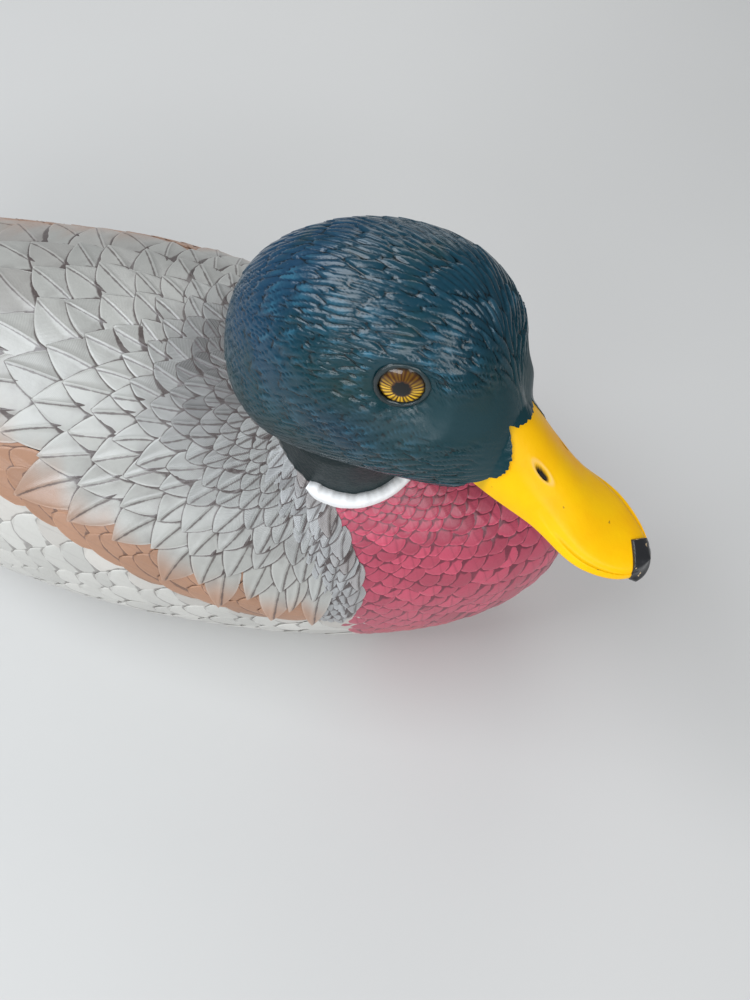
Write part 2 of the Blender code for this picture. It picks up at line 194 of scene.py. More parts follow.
def lengths_along(points):
    """Distance walked along each row of points, from the row's first point."""
    steps = np.linalg.norm(np.diff(points, axis=-2), axis=-1)
    return np.concatenate((np.zeros((*steps.shape[:-1], 1)), np.cumsum(steps, axis=-1)), -1)


def moving_mean(values, count):
    """Mean of each value with its neighbours; the ends of values are used up."""
    return np.convolve(values, np.full(count, 1 / count), "valid")


def write_attribute(mesh, key, rows):
    """Numbers, vectors or paint kept at the mesh's points."""
    rows = np.asarray(rows, np.float32)
    if key == "paint":
        kind, field = "FLOAT_COLOR", "color"
        rows = np.column_stack((rows, np.ones(len(rows), np.float32)))
    elif rows.ndim == 1:
        kind, field = "FLOAT", "value"
    else:
        kind, field = "FLOAT_VECTOR", "vector"
    mesh.attributes.new(key, kind, "POINT").data.foreach_set(field, rows.ravel())


def build(name, points, faces, finish, attributes, patch):
    """Mesh object from points in millimetres, dressed and riding on the body."""
    mesh = bpy.data.meshes.new(name)
    mesh.from_pydata((np.asarray(points) * MM).tolist(), [], faces)
    mesh.validate()
    mesh.shade_smooth()
    for key, rows in attributes.items():
        write_attribute(mesh, key, rows)
    corners = np.zeros(len(mesh.loops), np.int32)
    mesh.loops.foreach_get("vertex_index", corners)
    layer = mesh.uv_layers.new(name="OFBake")
    layer.data.foreach_set("uv", np.asarray(patch, np.float32)[corners].ravel())
    thing = bpy.data.objects.new(name, mesh)
    bpy.context.collection.objects.link(thing)
    mesh.materials.append(finish)
    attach(thing, "root")
    return thing


def grid_faces(rows, columns, closed=False):
    """Quads between the points of a grid, row after row."""
    r = np.arange(rows - 1)[:, None]
    c = np.arange(columns if closed else columns - 1)[None, :]
    a = r * columns + c
    b = r * columns + (c + 1) % columns
    return np.stack((a, b, b + columns, a + columns), -1).reshape(-1, 4)


def closed_tube(rings):
    """Points and faces of a tube through rings of points, with a fan over each end."""
    rows, around = rings.shape[:2]
    points = np.concatenate((rings.reshape(-1, 3), rings[0].mean(0)[None], rings[-1].mean(0)[None]))
    faces = grid_faces(rows, around, closed=True).tolist()
    last, hub = (rows - 1) * around, rows * around
    for k in range(around):
        m = (k + 1) % around
        faces.append((m, k, hub))
        faces.append((last + k, last + m, hub + 1))
    return points, faces


def tube_patch(along, around, low, high):
    """Places on the unwrap of a closed tube, the tube running along the first axis."""
    first = 0.02 + 0.96 * np.asarray(along)
    grid = np.stack(np.broadcast_arrays(first[:, None], np.linspace(low, high, around)[None, :]), -1)
    hubs = [(0.01, (low + high) / 2), (0.99, (low + high) / 2)]
    return np.concatenate((grid.reshape(-1, 2), hubs))


# ---------------------------------------------------------------- surfaces

def hull_outline(y):
    """Half-width, top, bottom and widest height of the hull at y."""
    t = np.clip(-y / HULL_FRONT, 0, 0.9999)
    r = np.clip(y / HULL_REAR, 0, 1)
    front = y < 0
    half = np.where(
        front,
        HULL_HALF_WIDTH * arch(t, 1.7, 0.5),
        mix(STERN_HALF_WIDTH, HULL_HALF_WIDTH, arch(r, 2.6, 0.9)),
    )
    top = np.where(
        front,
        mix(PROW_HEIGHT, BACK_HEIGHT, arch(t, 3.2, 0.5)),
        mix(STERN_TOP, BACK_HEIGHT, arch(r, 1.9, 1.0)),
    )
    bottom = np.where(
        front,
        PROW_HEIGHT * (1 - arch(np.clip(t - 0.5, 0, None) / 0.5, 2.2, 0.5)),
        STERN_BOTTOM * (1 - arch(np.clip(r - 0.4, 0, None) / 0.6, 2.0, 0.8)),
    )
    widest = np.where(
        front,
        mix(WIDEST_HEIGHT, PROW_HEIGHT, t * t),
        mix(WIDEST_HEIGHT, (STERN_TOP + STERN_BOTTOM) / 2, r * r),
    )
    return np.maximum(half, 0.5), top, bottom, widest


def mound(x, y):
    """Rise of the back round the foot of the neck."""
    away = np.hypot(x - NECK_FOOT[0], y - NECK_FOOT[1])
    return NECK_MOUND * smooth(1 - away / NECK_MOUND_RADIUS)


def hull_point(y, angle):
    """Point of the hull's section at y, at an angle from +X through +Z."""
    y, angle = np.broadcast_arrays(np.asarray(y, float), np.asarray(angle, float))
    half, top, bottom, widest = hull_outline(y)
    across, up = superpoint(angle, BACK_POWER, BASE_POWER)
    x = half * across
    z = np.where(
        up >= 0,
        widest + (top - widest + mound(x, y)) * up,
        np.maximum(bottom, widest + BASE_REACH * (widest - bottom) * up),
    )
    return np.stack((x, y, z), -1)


def hull_level(p):
    """How far outside the hull a point is, as a share of the section's radius."""
    x, y, z = p[..., 0], p[..., 1], p[..., 2]
    half, top, bottom, widest = hull_outline(y)
    up = z - widest
    side = np.abs(x) / half
    rise = np.maximum(top - widest + mound(x, y), 1.0)
    fall = np.maximum(BASE_REACH * (widest - bottom), 1.0)
    above = (side ** BACK_POWER + (np.maximum(up, 0) / rise) ** BACK_POWER) ** (1 / BACK_POWER)
    below = (side ** BASE_POWER + (np.maximum(-up, 0) / fall) ** BASE_POWER) ** (1 / BASE_POWER)
    ahead = np.clip(-y / HULL_FRONT - 1, 0, None)
    return np.where(up >= 0, above, below) - 1 + PROW_STEEPNESS * ahead


def hull_slope(p):
    """Direction in which hull_level grows, by small steps."""
    reach = 0.05
    steps = np.eye(3) * reach
    return np.stack([(hull_level(p + s) - hull_level(p - s)) / (2 * reach) for s in steps], -1)


def onto_hull(p, rounds=4):
    """Nearby points of the hull, and the hull's outward directions there."""
    p = np.array(p, float)
    for _ in range(rounds):
        slope = hull_slope(p)
        move = hull_level(p)[..., None] * slope / np.maximum(dot(slope, slope), 1e-9)
        p -= np.clip(move, -LONGEST_MOVE, LONGEST_MOVE)
        p[..., 1] = np.maximum(p[..., 1], -PROW_LIMIT * HULL_FRONT)
    return p, unit(hull_slope(p))


def lip_height(y):
    """Height of the mantle's lip at y."""
    return np.interp(y, LIP[:, 0], LIP[:, 1])


def mantle_lift(p):
    """How far the mantle stands proud of the hull towards its lip."""
    above = p[..., 2] - lip_height(p[..., 1])
    return np.where(above > -1.5, LIP_STEP * smooth(1 - above / LIP_FADE), 0.0)


def settle(p):
    """How far the plumage sits in on the left side of the back, behind the neck."""
    return SETTLE * smooth((p[..., 1] + 10) / 60) * smooth(p[..., 0] / 40) * smooth((p[..., 2] - 60) / 15)


CURVE_START_HEIGHT = 45.0
CURVE_SAMPLES = 500
CURVE_LOWEST = -radians(38)
CURVE_REACH = 400.0
CURVE_HALVINGS = 32


def polar_curves(bearings):
    """Curves over the hull from the neck's middle, one for each bearing from the tail's direction."""
    tilt = np.linspace(pi / 2, CURVE_LOWEST, CURVE_SAMPLES)
    flat = np.stack((np.sin(bearings), np.cos(bearings)), -1)
    way = np.concatenate((
        np.cos(tilt)[None, :, None] * flat[:, None, :],
        np.broadcast_to(np.sin(tilt)[None, :, None], (len(bearings), CURVE_SAMPLES, 1)),
    ), -1)
    origin = np.array((NECK_FOOT[0], NECK_FOOT[1], CURVE_START_HEIGHT))
    near = np.zeros(way.shape[:2])
    far = np.full(way.shape[:2], CURVE_REACH)
    for _ in range(CURVE_HALVINGS):
        middle = (near + far) / 2
        inside = hull_level(origin + way * middle[..., None]) < 0
        near = np.where(inside, middle, near)
        far = np.where(inside, far, middle)
    points = origin + way * near[..., None]
    return points, lengths_along(points)


def on_polar(bearings, distances):
    """Hull points at bearings and walked distances from the neck's middle, with their headings."""
    points, walked = polar_curves(np.asarray(bearings))
    place = np.zeros((len(bearings), 3))
    ahead = np.zeros((len(bearings), 3))
    for n, distance in enumerate(distances):
        for axis in range(3):
            place[n, axis] = np.interp(distance, walked[n], points[n, :, axis])
            ahead[n, axis] = np.interp(distance + 2, walked[n], points[n, :, axis])
    return place, unit(ahead - place)


# ---------------------------------------------------------------- feathers

class Plumage:
    """Rows of feathers laid like tiles, each a thin closed plate.

    A feather sits at (i, j): i counts half steps along the lie, j counts half widths across it, and
    i + j is even, so that every feather is covered by those at the COVERING offsets.
    """

    def __init__(self):
        self.rows = {}

    def add(self, i, j, place, heading, step, width, **facts):
        self.rows[(i, j)] = dict(place=place, heading=heading, step=step, width=width, **facts)


COVERING = ((-1, -1), (-1, 1), (-2, 0), (-3, -1), (-3, 1))
FAR_GAP = 8.0
QUILL_HALF = 0.42
GROOVE_PLACE = 0.95
GROOVE_HALF = 0.45
GROOVE_DEPTH = 0.10
RIM_START = 0.94
EDGE_DROP = 0.12
SPREAD = 1.14
LONGEST_LIFTING_STEP = 18
PLATE_DEPTH = 1.1
UV_SCALE = 1 / 420.0


def leaf(u, pointed):
    """Half-width along a feather, as a share of the widest."""
    rise = np.clip(u / 0.34, 0, 1) ** 0.55
    fall = np.clip(1 - (np.clip(u - 0.46, 0, None) / 0.54) ** 2.0, 0, 1) ** mix(0.5, 1.05, pointed)
    return np.maximum(rise * fall, 0.012)


def feather_columns(half, v_side):
    """Column places across each feather: three close pairs for the quill, then even ones out to the rim."""
    outer = np.linspace(0, 1, v_side - 1)[1:] ** 0.8
    columns = []
    for width in half:
        first = min(0.30, 0.55 / width)
        side = np.concatenate(([0, first * 0.55, first * 1.1], mix(first * 1.1, RIM_START, outer), [1.0]))
        columns.append(np.concatenate((-side[:0:-1], side)))
    return np.array(columns)[:, None, :]


def each(values):
    """One value for each feather, ready to meet the feathers' grids."""
    return values[:, None, None]


def covering_gap(keys, place, heading, across, step, length, half, pointed, sweep, flat):
    """Distance in mm from each point to the nearest rim of the feathers that lie over it."""
    index = {key: n for n, key in enumerate(keys)}
    gap = np.full(flat.shape[:-1], FAR_GAP)
    for offset in COVERING:
        cover = np.array([index.get((i + offset[0], j + offset[1]), -1) for i, j in keys])
        has = cover >= 0
        if not has.any():
            continue
        m = cover[has]
        rel = flat[has] - each(place[m])
        ahead = (rel * each(heading[m])).sum(-1)
        beside = (rel * each(across[m])).sum(-1)
        share = 1 + (ahead - 0.5 * each(step[m])) / each(length[m])
        beside = beside - each(sweep[m]) * (share - 0.5) ** 2 * each(length[m])
        reach = leaf(np.clip(share, 0, 1), each(pointed[m])) * each(half[m])
        lateral = np.abs(beside) - reach
        beyond = np.clip(share - 1, 0, None) * each(length[m])
        outside = np.where(share > 1, np.hypot(beyond, np.maximum(lateral, 0)), lateral * 0.75)
        outside = np.where(share < 0, FAR_GAP, outside)
        gap[has] = np.minimum(gap[has], outside)
    return gap


def rim_places(u_count, v_count):
    """Places round the edge of a feather's grid, one after another."""
    return np.concatenate((
        np.arange(u_count) * v_count,
        (u_count - 1) * v_count + np.arange(1, v_count - 1),
        np.arange(u_count)[::-1] * v_count + v_count - 1,
        np.arange(1, v_count - 1)[::-1],
    ))


def lay_feathers(
    name, plumage, finish, u_count=15, v_side=7, overlap=1.75, lift_base=0.3, lift_share=0.055,
    dome=0.015, roof=0.018, quill=0.26, on_mantle=False, base_lift=0.0, dip=0.5, tint=None,
):
    """Joined mesh of a plumage's feathers, lying on the hull.

    Each feather is a grid of u_count points from root to tip, wider by v_side to each side of its quill.
    lift_base and lift_share raise its tip, dome and roof bend it across, and dip sinks what is covered.
    """
    keys = sorted(plumage.rows)
    rows = [plumage.rows[key] for key in keys]
    count = len(rows)

    def fact(key, default=None):
        return np.array([row.get(key, default) for row in rows])

    place, normal = onto_hull(fact("place"))
    heading = fact("heading")
    heading = unit(heading - normal * dot(heading, normal))
    across = np.cross(normal, heading)
    step, width, pointed = fact("step"), fact("width"), fact("pointed", 1.0)
    barb, quills = fact("barb", 0.3), fact("quill", 1.0)
    length = step * fact("overlap", overlap)
    half = width * SPREAD / 2
    lift = lift_base + lift_share * np.minimum(step, LONGEST_LIFTING_STEP)

    u = 1 - (1 - np.linspace(0, 1, u_count)) ** 1.25
    v = feather_columns(half, v_side)
    v_count = v.shape[-1]
    U = np.broadcast_to(u[None, :, None], (count, u_count, v_count))
    V = np.broadcast_to(v, (count, u_count, v_count))
    shape = leaf(U, each(pointed))
    along = (U - 1) * each(length) + each(step) * 0.5
    offset = V * shape * each(half)
    sweep = fact("sweep", 0.0)
    side = offset + each(sweep) * (U - 0.5) ** 2 * each(length)
    flat = each(place) + along[..., None] * each(heading)
    flat = flat + side[..., None] * each(across)
    ground, up = onto_hull(flat, rounds=3)
    gap = covering_gap(keys, place, heading, across, step, length, half, pointed, sweep, flat)

    fades = smooth(U / 0.2) * smooth((1 - U) / 0.10) * np.minimum(1, shape * each(half) / 1.6)
    ridge = bell(offset, 0, QUILL_HALF) * fades
    groove = bell(np.abs(offset), GROOVE_PLACE, GROOVE_HALF) * smooth((1 - U) / 0.2)
    rim = np.clip((np.abs(V) - RIM_START) / 0.06, 0, 1) + np.clip((U - 0.965) / 0.035, 0, 1)
    height = (
        base_lift
        + each(fact("base", 0.0)) * (1 - each(fact("sunk", 0.0)) * smooth(1 - U / 0.6))
        + each(lift) * U ** 1.25
        + dome * each(half) * (1 - V ** 2) * np.sqrt(shape)
        + roof * each(half) * shape * (1 - np.abs(V))
        + each(quills) * (quill * ridge - GROOVE_DEPTH * groove)
        + each(fact("warp", 0.0)) * V * (1 - np.abs(V) * 0.3)
        - EDGE_DROP * np.minimum(rim, 1.0)
        - dip * smooth(-(gap + 0.2) / 2.4)
    )
    if on_mantle:
        height = height + mantle_lift(ground) * (1 - 0.6 * smooth(ground[..., 0] / 30))
    height = height - settle(ground)
    top = ground + up * height[..., None]
    own_rim = np.minimum((1 - np.abs(V)) * shape * each(half) * 0.8, (1 - U) * each(length) * 0.7)

    # Perimeter, dropped to make the plate's edge, and a hub that closes it below.
    ring = rim_places(u_count, v_count)
    top = top.reshape(count, -1, 3)
    ground = ground.reshape(count, -1, 3)
    up = up.reshape(count, -1, 3)
    middle = u_count // 2 * v_count + v_count // 2
    sunk = base_lift - PLATE_DEPTH - settle(ground[:, ring])
    skirt = ground[:, ring] + up[:, ring] * np.minimum(sunk, -0.6)[..., None]
    hub = (ground[:, middle] + up[:, middle] * (base_lift - 1.0))[:, None]
    points = np.concatenate((top, skirt, hub), 1)
    per, cells = points.shape[1], u_count * v_count
    skirt_ids = cells + np.arange(len(ring))
    after = np.roll(np.arange(len(ring)), -1)
    face = grid_faces(u_count, v_count)[:, ::-1]
    wall = np.stack((ring, skirt_ids, skirt_ids[after], ring[after]), -1)[:, ::-1]
    under = np.stack((skirt_ids, np.full(len(ring), per - 1), skirt_ids[after]), -1)[:, ::-1]
    faces = []
    for n in range(count):
        for part in (face, wall, under):
            faces += (part + n * per).tolist()

    def everywhere(values):
        """Rows of the top grid, with their copies round the skirt and at the hub."""
        flat_rows = np.asarray(values, float).reshape(count, cells, -1)
        full = np.concatenate((flat_rows, flat_rows[:, ring], flat_rows[:, cells // 2][:, None]), 1)
        return full.reshape(count * per, -1)

    def single(values):
        return everywhere(np.broadcast_to(values, U.shape))[:, 0]

    colour = fact("paint")[:, None, None, :] * np.ones((1, u_count, v_count, 1))
    for n, row in enumerate(rows):
        if row.get("marking"):
            colour[n] = row["marking"](U[n], V[n], colour[n])
    if tint:
        colour = tint(ground.reshape(colour.shape), colour)
    # Skirt walls and hub count as fully covered, so the wash and painted shade darken them.
    skirt_gap = np.concatenate((np.full(cells, FAR_GAP), np.full(len(ring) + 1, -1.0)))
    closest = np.minimum(single(gap).reshape(count, per), skirt_gap)
    turn = unit(fact("map_heading"))
    sideways = np.stack((turn[:, 1], -turn[:, 0]), -1)
    seen = np.clip((U - 0.42) / 0.58, 0, 1) - 0.5
    patch = 0.5 + UV_SCALE * (
        each(fact("map"))
        + (seen * each(step) * 0.9)[..., None] * each(turn)
        + (V * shape * each(width) * 0.46)[..., None] * each(sideways)
    )
    return build(name, points.reshape(-1, 3), faces, finish, {
        "paint": everywhere(colour),
        "gap": closest.ravel(),
        "rim": single(own_rim),
        "quill": single(each(quills) * smooth((1 - U) / 0.06) * smooth(U / 0.3)),
        "vane": everywhere(np.stack((along, offset, np.broadcast_to(each(barb), U.shape)), -1)),
        "tone": single(each(chance.random(count))),
    }, everywhere(patch))


# ---------------------------------------------------------------- materials

class Nodes:
    """Short way to write a material's nodes."""

    def __init__(self, name):
        self.material = bpy.data.materials.new(name)
        self.material.use_nodes = True
        self.tree = self.material.node_tree
        self.shader = self.tree.nodes["Principled BSDF"]

    def node(self, kind, **settings):
        made = self.tree.nodes.new(kind)
        for key, value in settings.items():
            setattr(made, key, value)
        return made

    def put(self, value, socket):
        """Links an output to a socket, or sets the socket to a number or a colour."""
        if isinstance(value, (int, float)):
            socket.default_value = value
        elif hasattr(value, "is_linked"):
            self.tree.links.new(value, socket)
        else:
            socket.default_value = (*value, 1.0)

    def attribute(self, name, output="Fac"):
        return self.node("ShaderNodeAttribute", attribute_name=name).outputs[output]

    def paint(self):
        return self.attribute("paint", "Color")

    def math(self, operation, *values):
        made = self.node("ShaderNodeMath", operation=operation)
        for value, socket in zip(values, made.inputs):
            self.put(value, socket)
        return made.outputs[0]

    def times(self, first, second):
        return self.math("MULTIPLY", first, second)

    def plus(self, first, second):
        return self.math("ADD", first, second)

    def scaled(self, value, factor, start):
        """The start plus a factor of the value."""
        return self.math("MULTIPLY_ADD", value, factor, start)

    def noise(self, scale, detail=4.0, roughness=0.55):
        made = self.node("ShaderNodeTexNoise")
        for key, number in (("Scale", scale), ("Detail", detail), ("Roughness", roughness)):
            made.inputs[key].default_value = number
        self.put(self.node("ShaderNodeTexCoord").outputs["Object"], made.inputs["Vector"])
        return made.outputs["Fac"]

    def span(self, value, low, high, to_low=0.0, to_high=1.0):
        made = self.node("ShaderNodeMapRange", interpolation_type="SMOOTHSTEP")
        self.put(value, made.inputs["Value"])
        for key, number in (("From Min", low), ("From Max", high), ("To Min", to_low), ("To Max", to_high)):
            made.inputs[key].default_value = number
        return made.outputs["Result"]

    def colours(self, share, first, second, kind="MIX"):
        made = self.node("ShaderNodeMix", data_type="RGBA", blend_type=kind)
        for key, value in ((0, share), (6, first), (7, second)):
            self.put(value, made.inputs[key])
        return made.outputs[2]

    def bump(self, height, distance):
        made = self.node("ShaderNodeBump")
        made.inputs["Strength"].default_value = 1.0
        made.inputs["Distance"].default_value = distance
        self.put(height, made.inputs["Height"])
        return made.outputs["Normal"]

    def surface(self, colour, roughness, normal=None, **values):
        """Gives the shader its colour, roughness, bump and other values, and returns the material."""
        values = {key.replace("_", " "): value for key, value in values.items()}
        values.update({"Base Color": colour, "Roughness": roughness})
        for key, value in values.items():
            self.put(value, self.shader.inputs[key])
        if normal is not None:
            self.put(normal, self.shader.inputs["Normal"])
        return self.material


BARB_SPACING = 0.72
BARB_SLANT = 1.25
QUILL_LINE_PLACE = 0.80


def feather_paint(
    name, wash_and_shade_colour=WASH_AND_SHADE, gloss=(0.30, 0.46), mottle=0.10, wash_and_shade_strength=0.92, coat=0.15,
    line=(0.15, 0.75), rim_light=0.16, stain_and_shade=0.0,
):
    """Brushed paint over carved feathers: a dark wash with painted shade in the recesses and beside the
    quill, and a painted highlight along each rim.
    """
    n = Nodes(name)
    tone = n.attribute("tone")
    brushed = n.noise(900.0, 3.0)
    cloudy = n.noise(70.0, 3.0)
    patchy = n.noise(330.0, 4.0, roughness=0.7)
    shade = n.scaled(tone, 0.16, 0.92)
    shade = n.plus(shade, n.scaled(cloudy, mottle * 2, -mottle))
    shade = n.plus(shade, n.scaled(brushed, 0.10, -0.05))
    # Painted highlight along the feather's own rim.
    shade = n.plus(shade, n.times(n.span(n.attribute("rim"), 0.75, 0.15), rim_light))
    lit = n.colours(1.0, n.paint(), shade, "MULTIPLY")
    wander = n.scaled(patchy, 0.9, -0.45)
    gap = n.plus(n.attribute("gap"), wander)
    # Dark wash and painted shade close under the rims of the covering feathers.
    wash = n.times(n.span(gap, line[1], line[0]), n.span(patchy, 0.2, 0.5, 0.6, wash_and_shade_strength))
    # A wider, patchy stain with painted shade under the covering feathers.
    if stain_and_shade:
        stain_and_shade_share = n.times(n.span(gap, 4.5, 0.2), n.span(n.noise(120.0, 2.0), 0.42, 0.65, 0.0, stain_and_shade))
        wash = n.math("MAXIMUM", wash, stain_and_shade_share)
    parts = n.node("ShaderNodeSeparateXYZ")
    n.put(n.attribute("vane", "Vector"), parts.inputs[0])
    along, across, barb = parts.outputs
    # Dark line in the groove beside the quill: wash and painted shade.
    beside = n.math("ABSOLUTE", n.math("SUBTRACT", across, QUILL_LINE_PLACE))
    stroke = n.times(n.span(n.plus(beside, wander), 0.42, 0.10), n.attribute("quill"))
    wash = n.math("MAXIMUM", wash, n.times(stroke, 0.8 * wash_and_shade_strength))
    phase = n.plus(along, n.times(n.math("ABSOLUTE", across), -BARB_SLANT))
    phase = n.plus(phase, n.times(cloudy, 1.6))
    barbs = n.times(n.math("SINE", n.times(phase, 2 * pi / BARB_SPACING)), barb)
    height = n.scaled(barbs, 0.5, n.times(brushed, 0.45))
    height = n.plus(height, n.times(patchy, 0.4))
    return n.surface(
        n.colours(wash, lit, wash_and_shade_colour), n.scaled(patchy, gloss[1] - gloss[0], gloss[0]),
        n.bump(height, 0.00014), Specular_IOR_Level=0.5, Coat_Weight=coat, Coat_Roughness=0.22,
    )


def plain_paint(
    name, colour, second, roughness=0.4, grain=500.0, depth=0.00012, coat=0.1, specular=0.5,
):
    """Brushed paint of one colour that drifts a little towards a second."""
    n = Nodes(name)
    broad = n.noise(60.0, 4.0)
    fine = n.noise(grain, 5.0)
    return n.surface(
        n.colours(n.span(broad, 0.35, 0.7), colour, second), n.scaled(fine, 0.2, roughness - 0.1),
        n.bump(fine, depth), Specular_IOR_Level=specular, Coat_Weight=coat, Coat_Roughness=0.2,
    )


def head_paint():
    """Dark green paint with a blue sheen, lighter on the raised strokes (partly dry-brushing, partly painted
    highlight), with painted highlights on crests and painted shade in the grooves.
    """
    n = Nodes("head_paint")
    raised = n.attribute("raised")
    fine = n.noise(1100.0, 4.0)
    broad = n.noise(90.0, 3.0)
    # Painted highlights: pale blue on the stroke crests where the glint attribute sets them.
    painted_glint = n.times(n.span(raised, 0.55, 0.90), n.span(n.noise(260.0, 4.0), 0.36, 0.66))
    painted_glint = n.times(painted_glint, n.attribute("glint"))
    # Lighter on the raised strokes: partly dry-brushing, partly painted highlight.
    lift = n.times(n.span(raised, 0.45, 1.0), n.span(fine, 0.35, 0.65))
    lit = n.colours(n.times(lift, 0.35), n.paint(), (0.022, 0.060, 0.090))
    # Near black in the grooves between strokes: painted shade.
    deep = n.colours(n.span(raised, 0.34, 0.02, 0.0, 0.85), lit, (0.001, 0.004, 0.005))
    patched = n.colours(n.span(broad, 0.5, 0.75, 0.0, 0.5), deep, (0.004, 0.026, 0.020))
    matt = n.scaled(n.attribute("wash"), 0.30, n.scaled(fine, 0.16, 0.16))
    return n.surface(
        n.colours(painted_glint, patched, (0.035, 0.150, 0.230)), matt, n.bump(fine, 0.00006),
        Specular_IOR_Level=0.38, Coat_Weight=0.0,
    )


def bill_paint():
    """Yellow paint that drifts to orange, with small chips and the dark of the nostrils."""
    n = Nodes("bill_paint")
    broad = n.noise(55.0, 4.0)
    fine = n.noise(800.0, 3.0)
    specks = n.noise(420.0, 2.0, roughness=0.4)
    orange = n.times(n.span(broad, 0.35, 0.75), 0.6)
    lit = n.colours(n.times(orange, 0.5), n.paint(), (0.90, 0.40, 0.001), "MULTIPLY")
    marked = n.colours(n.span(specks, 0.74, 0.78, 0.0, 0.75), lit, (0.20, 0.09, 0.02))
    return n.surface(
        n.colours(n.attribute("wash"), marked, (0.010, 0.008, 0.008)), n.scaled(fine, 0.16, 0.30),
        n.bump(n.plus(broad, n.times(fine, 0.12)), 0.00035), Specular_IOR_Level=0.16, Coat_Weight=0.0,
    )


def nail_paint():
    """Gloss black with a few chips down to the resin."""
    n = Nodes("nail_paint")
    chips = n.noise(620.0, 2.0, roughness=0.5)
    fine = n.noise(700.0, 4.0)
    return n.surface(
        n.colours(n.span(chips, 0.68, 0.71), BLACK, (0.55, 0.40, 0.24)), n.scaled(fine, 0.2, 0.24),
        n.bump(fine, 0.00012), Coat_Weight=0.3, Coat_Roughness=0.15,
    )


def iris_paint():
    """Painted iris under a clear glass dome."""
    n = Nodes("iris_paint")
    return n.surface(
        n.paint(), n.scaled(n.noise(900.0), 0.1, 0.25),
        Specular_IOR_Level=0.15, Coat_Weight=0.55, Coat_Roughness=0.03,
    )


def collar_paint():
    """Thick, slightly lumpy white paint."""
    n = Nodes("collar_paint")
    fine = n.noise(620.0, 5.0)
    lumps = n.noise(230.0, 3.0)
    return n.surface(
        n.colours(n.span(lumps, 0.25, 0.6), (0.82, 0.82, 0.82), (0.90, 0.90, 0.90)),
        n.scaled(fine, 0.25, 0.40), n.bump(n.plus(lumps, n.times(fine, 0.4)), 0.00012),
    )


PAINTS = {
    "mantle": feather_paint("mantle_paint", coat=0.3, gloss=(0.26, 0.44), stain_and_shade=0.2, line=(0.05, 0.6)),
    "tan": feather_paint("tan_paint", gloss=(0.34, 0.5), wash_and_shade_strength=0.6, line=(0.05, 0.55)),
    "flank": feather_paint("flank_paint", wash_and_shade_strength=0.45, coat=0.1, gloss=(0.36, 0.55), line=(0.1, 0.7)),
    "breast": feather_paint(
        "breast_paint", RED_WASH_AND_SHADE, coat=0.2, gloss=(0.30, 0.48), wash_and_shade_strength=0.8, line=(0.15, 0.7),
        rim_light=0.30,
    ),
    "dark": feather_paint("rump_paint", (0.004, 0.004, 0.005), mottle=0.05, coat=0.25),
    "wing": feather_paint("wing_feather_paint", (0.012, 0.009, 0.008), coat=0.2),
    "head": head_paint(),
    "bill": bill_paint(),
    "nail": nail_paint(),
    "iris": iris_paint(),
    "collar": collar_paint(),
    "neck": plain_paint(
        "neck_paint", (0.002, 0.010, 0.012), (0.004, 0.017, 0.020), 0.42, 800.0, 0.0003,
        coat=0.0, specular=0.28,
    ),
    "lid": plain_paint("lid_paint", (0.004, 0.020, 0.024), (0.006, 0.012, 0.014), 0.3, 900.0, coat=0.3),
    "curl": plain_paint("curl_paint", (0.006, 0.010, 0.011), (0.008, 0.016, 0.030), 0.3, 700.0, coat=0.4),
}


# ---------------------------------------------------------------- markings

# Where the breast's red begins: bearing by distance from the neck.
RED_EDGE = np.array([
    (28, 85), (36, 96), (47, 107), (62, 113), (78, 111), (90, 106), (108, 111), (160, 113),
], float)


def red_bearing(distance):
    """Bearing from the tail's direction at which the breast's red begins, in degrees."""
    return np.interp(distance, RED_EDGE[:, 0], RED_EDGE[:, 1])


def mantle_colour(distance, rough, bearing=0.0):
    """Paint of the mantle: dark behind the neck, partly darker paint and partly painted shade under the head,
    cream further back.
    """
    base = blend_rows(CREAM_GREY, COOL_GREY, smooth((75 - distance) / 35) * 0.5)
    behind = mix(0.22, 1.0, smooth((50 - abs(degrees(bearing))) / 34))
    # Dark grey behind the neck: partly darker paint, partly painted shade under the head.
    base = blend_rows(base, DARK_GREY, smooth((66 - distance) / 24) * (0.62 + 0.35 * rough) * behind)
    return blend_rows(base, MAUVE, np.clip(rough - 0.7, 0, 1) * 0.9 * smooth((distance - 80) / 40))


def tan_tint(ground, colour):
    """Tan that comes up from the lip over the lower feathers."""
    above = ground[..., 2] - lip_height(ground[..., 1])
    waver = 1.2 * np.sin(ground[..., 1] * 0.31) + 0.8 * np.sin(ground[..., 1] * 0.73 + 2)
    front = smooth((ground[..., 1] + 108) / 12)
    return blend_rows(colour, TAN, smooth((16.5 + waver - above) / 12.0) * 0.88 * front)


# ---------------------------------------------------------------- plumage of the hull

MANTLE_FIRST = 26.0
MANTLE_START = 24.0
MANTLE_RATIO = 0.10
MANTLE_SPACING = radians(5)
MANTLE_SWIRL = 0.30
FRINGE_FIRST = 29
FRINGE_STEP = 3.3
FRINGE_HALF = 2.5
BREAST_FIRST = 25.0
BREAST_RATIO = 0.046
BREAST_SPACING = 2 * pi / 80
SECTION_ANGLES = np.linspace(pi / 2, -pi / 2, 400)
LOOK_AHEAD = 3.0
LOWEST_ROOT = 9
FLANK_LAST_BEARING = 106.5
EDGE_GREY = np.array((0.42, 0.44, 0.45))
DEEP_RED = np.array((0.10, 0.018, 0.035))


def swirl(bearing):
    """How far the mantle's feathers lean round from straight away from the neck."""
    return MANTLE_SWIRL * smooth((bearing + 2.3) / 1.1) * smooth((2.0 - bearing) / 1.4)


def unwrap(bearing, distance, shift=(0, 0)):
    """Place and direction on the unwrap of a feather at a bearing and a distance."""
    way = np.array((sin(bearing), cos(bearing)))
    return {"map": way * distance - shift, "map_heading": way}


def neck_radius(place):
    """Level distance from the foot of the neck."""
    return np.hypot(place[0] - NECK_FOOT[0], place[1] - NECK_FOOT[1])


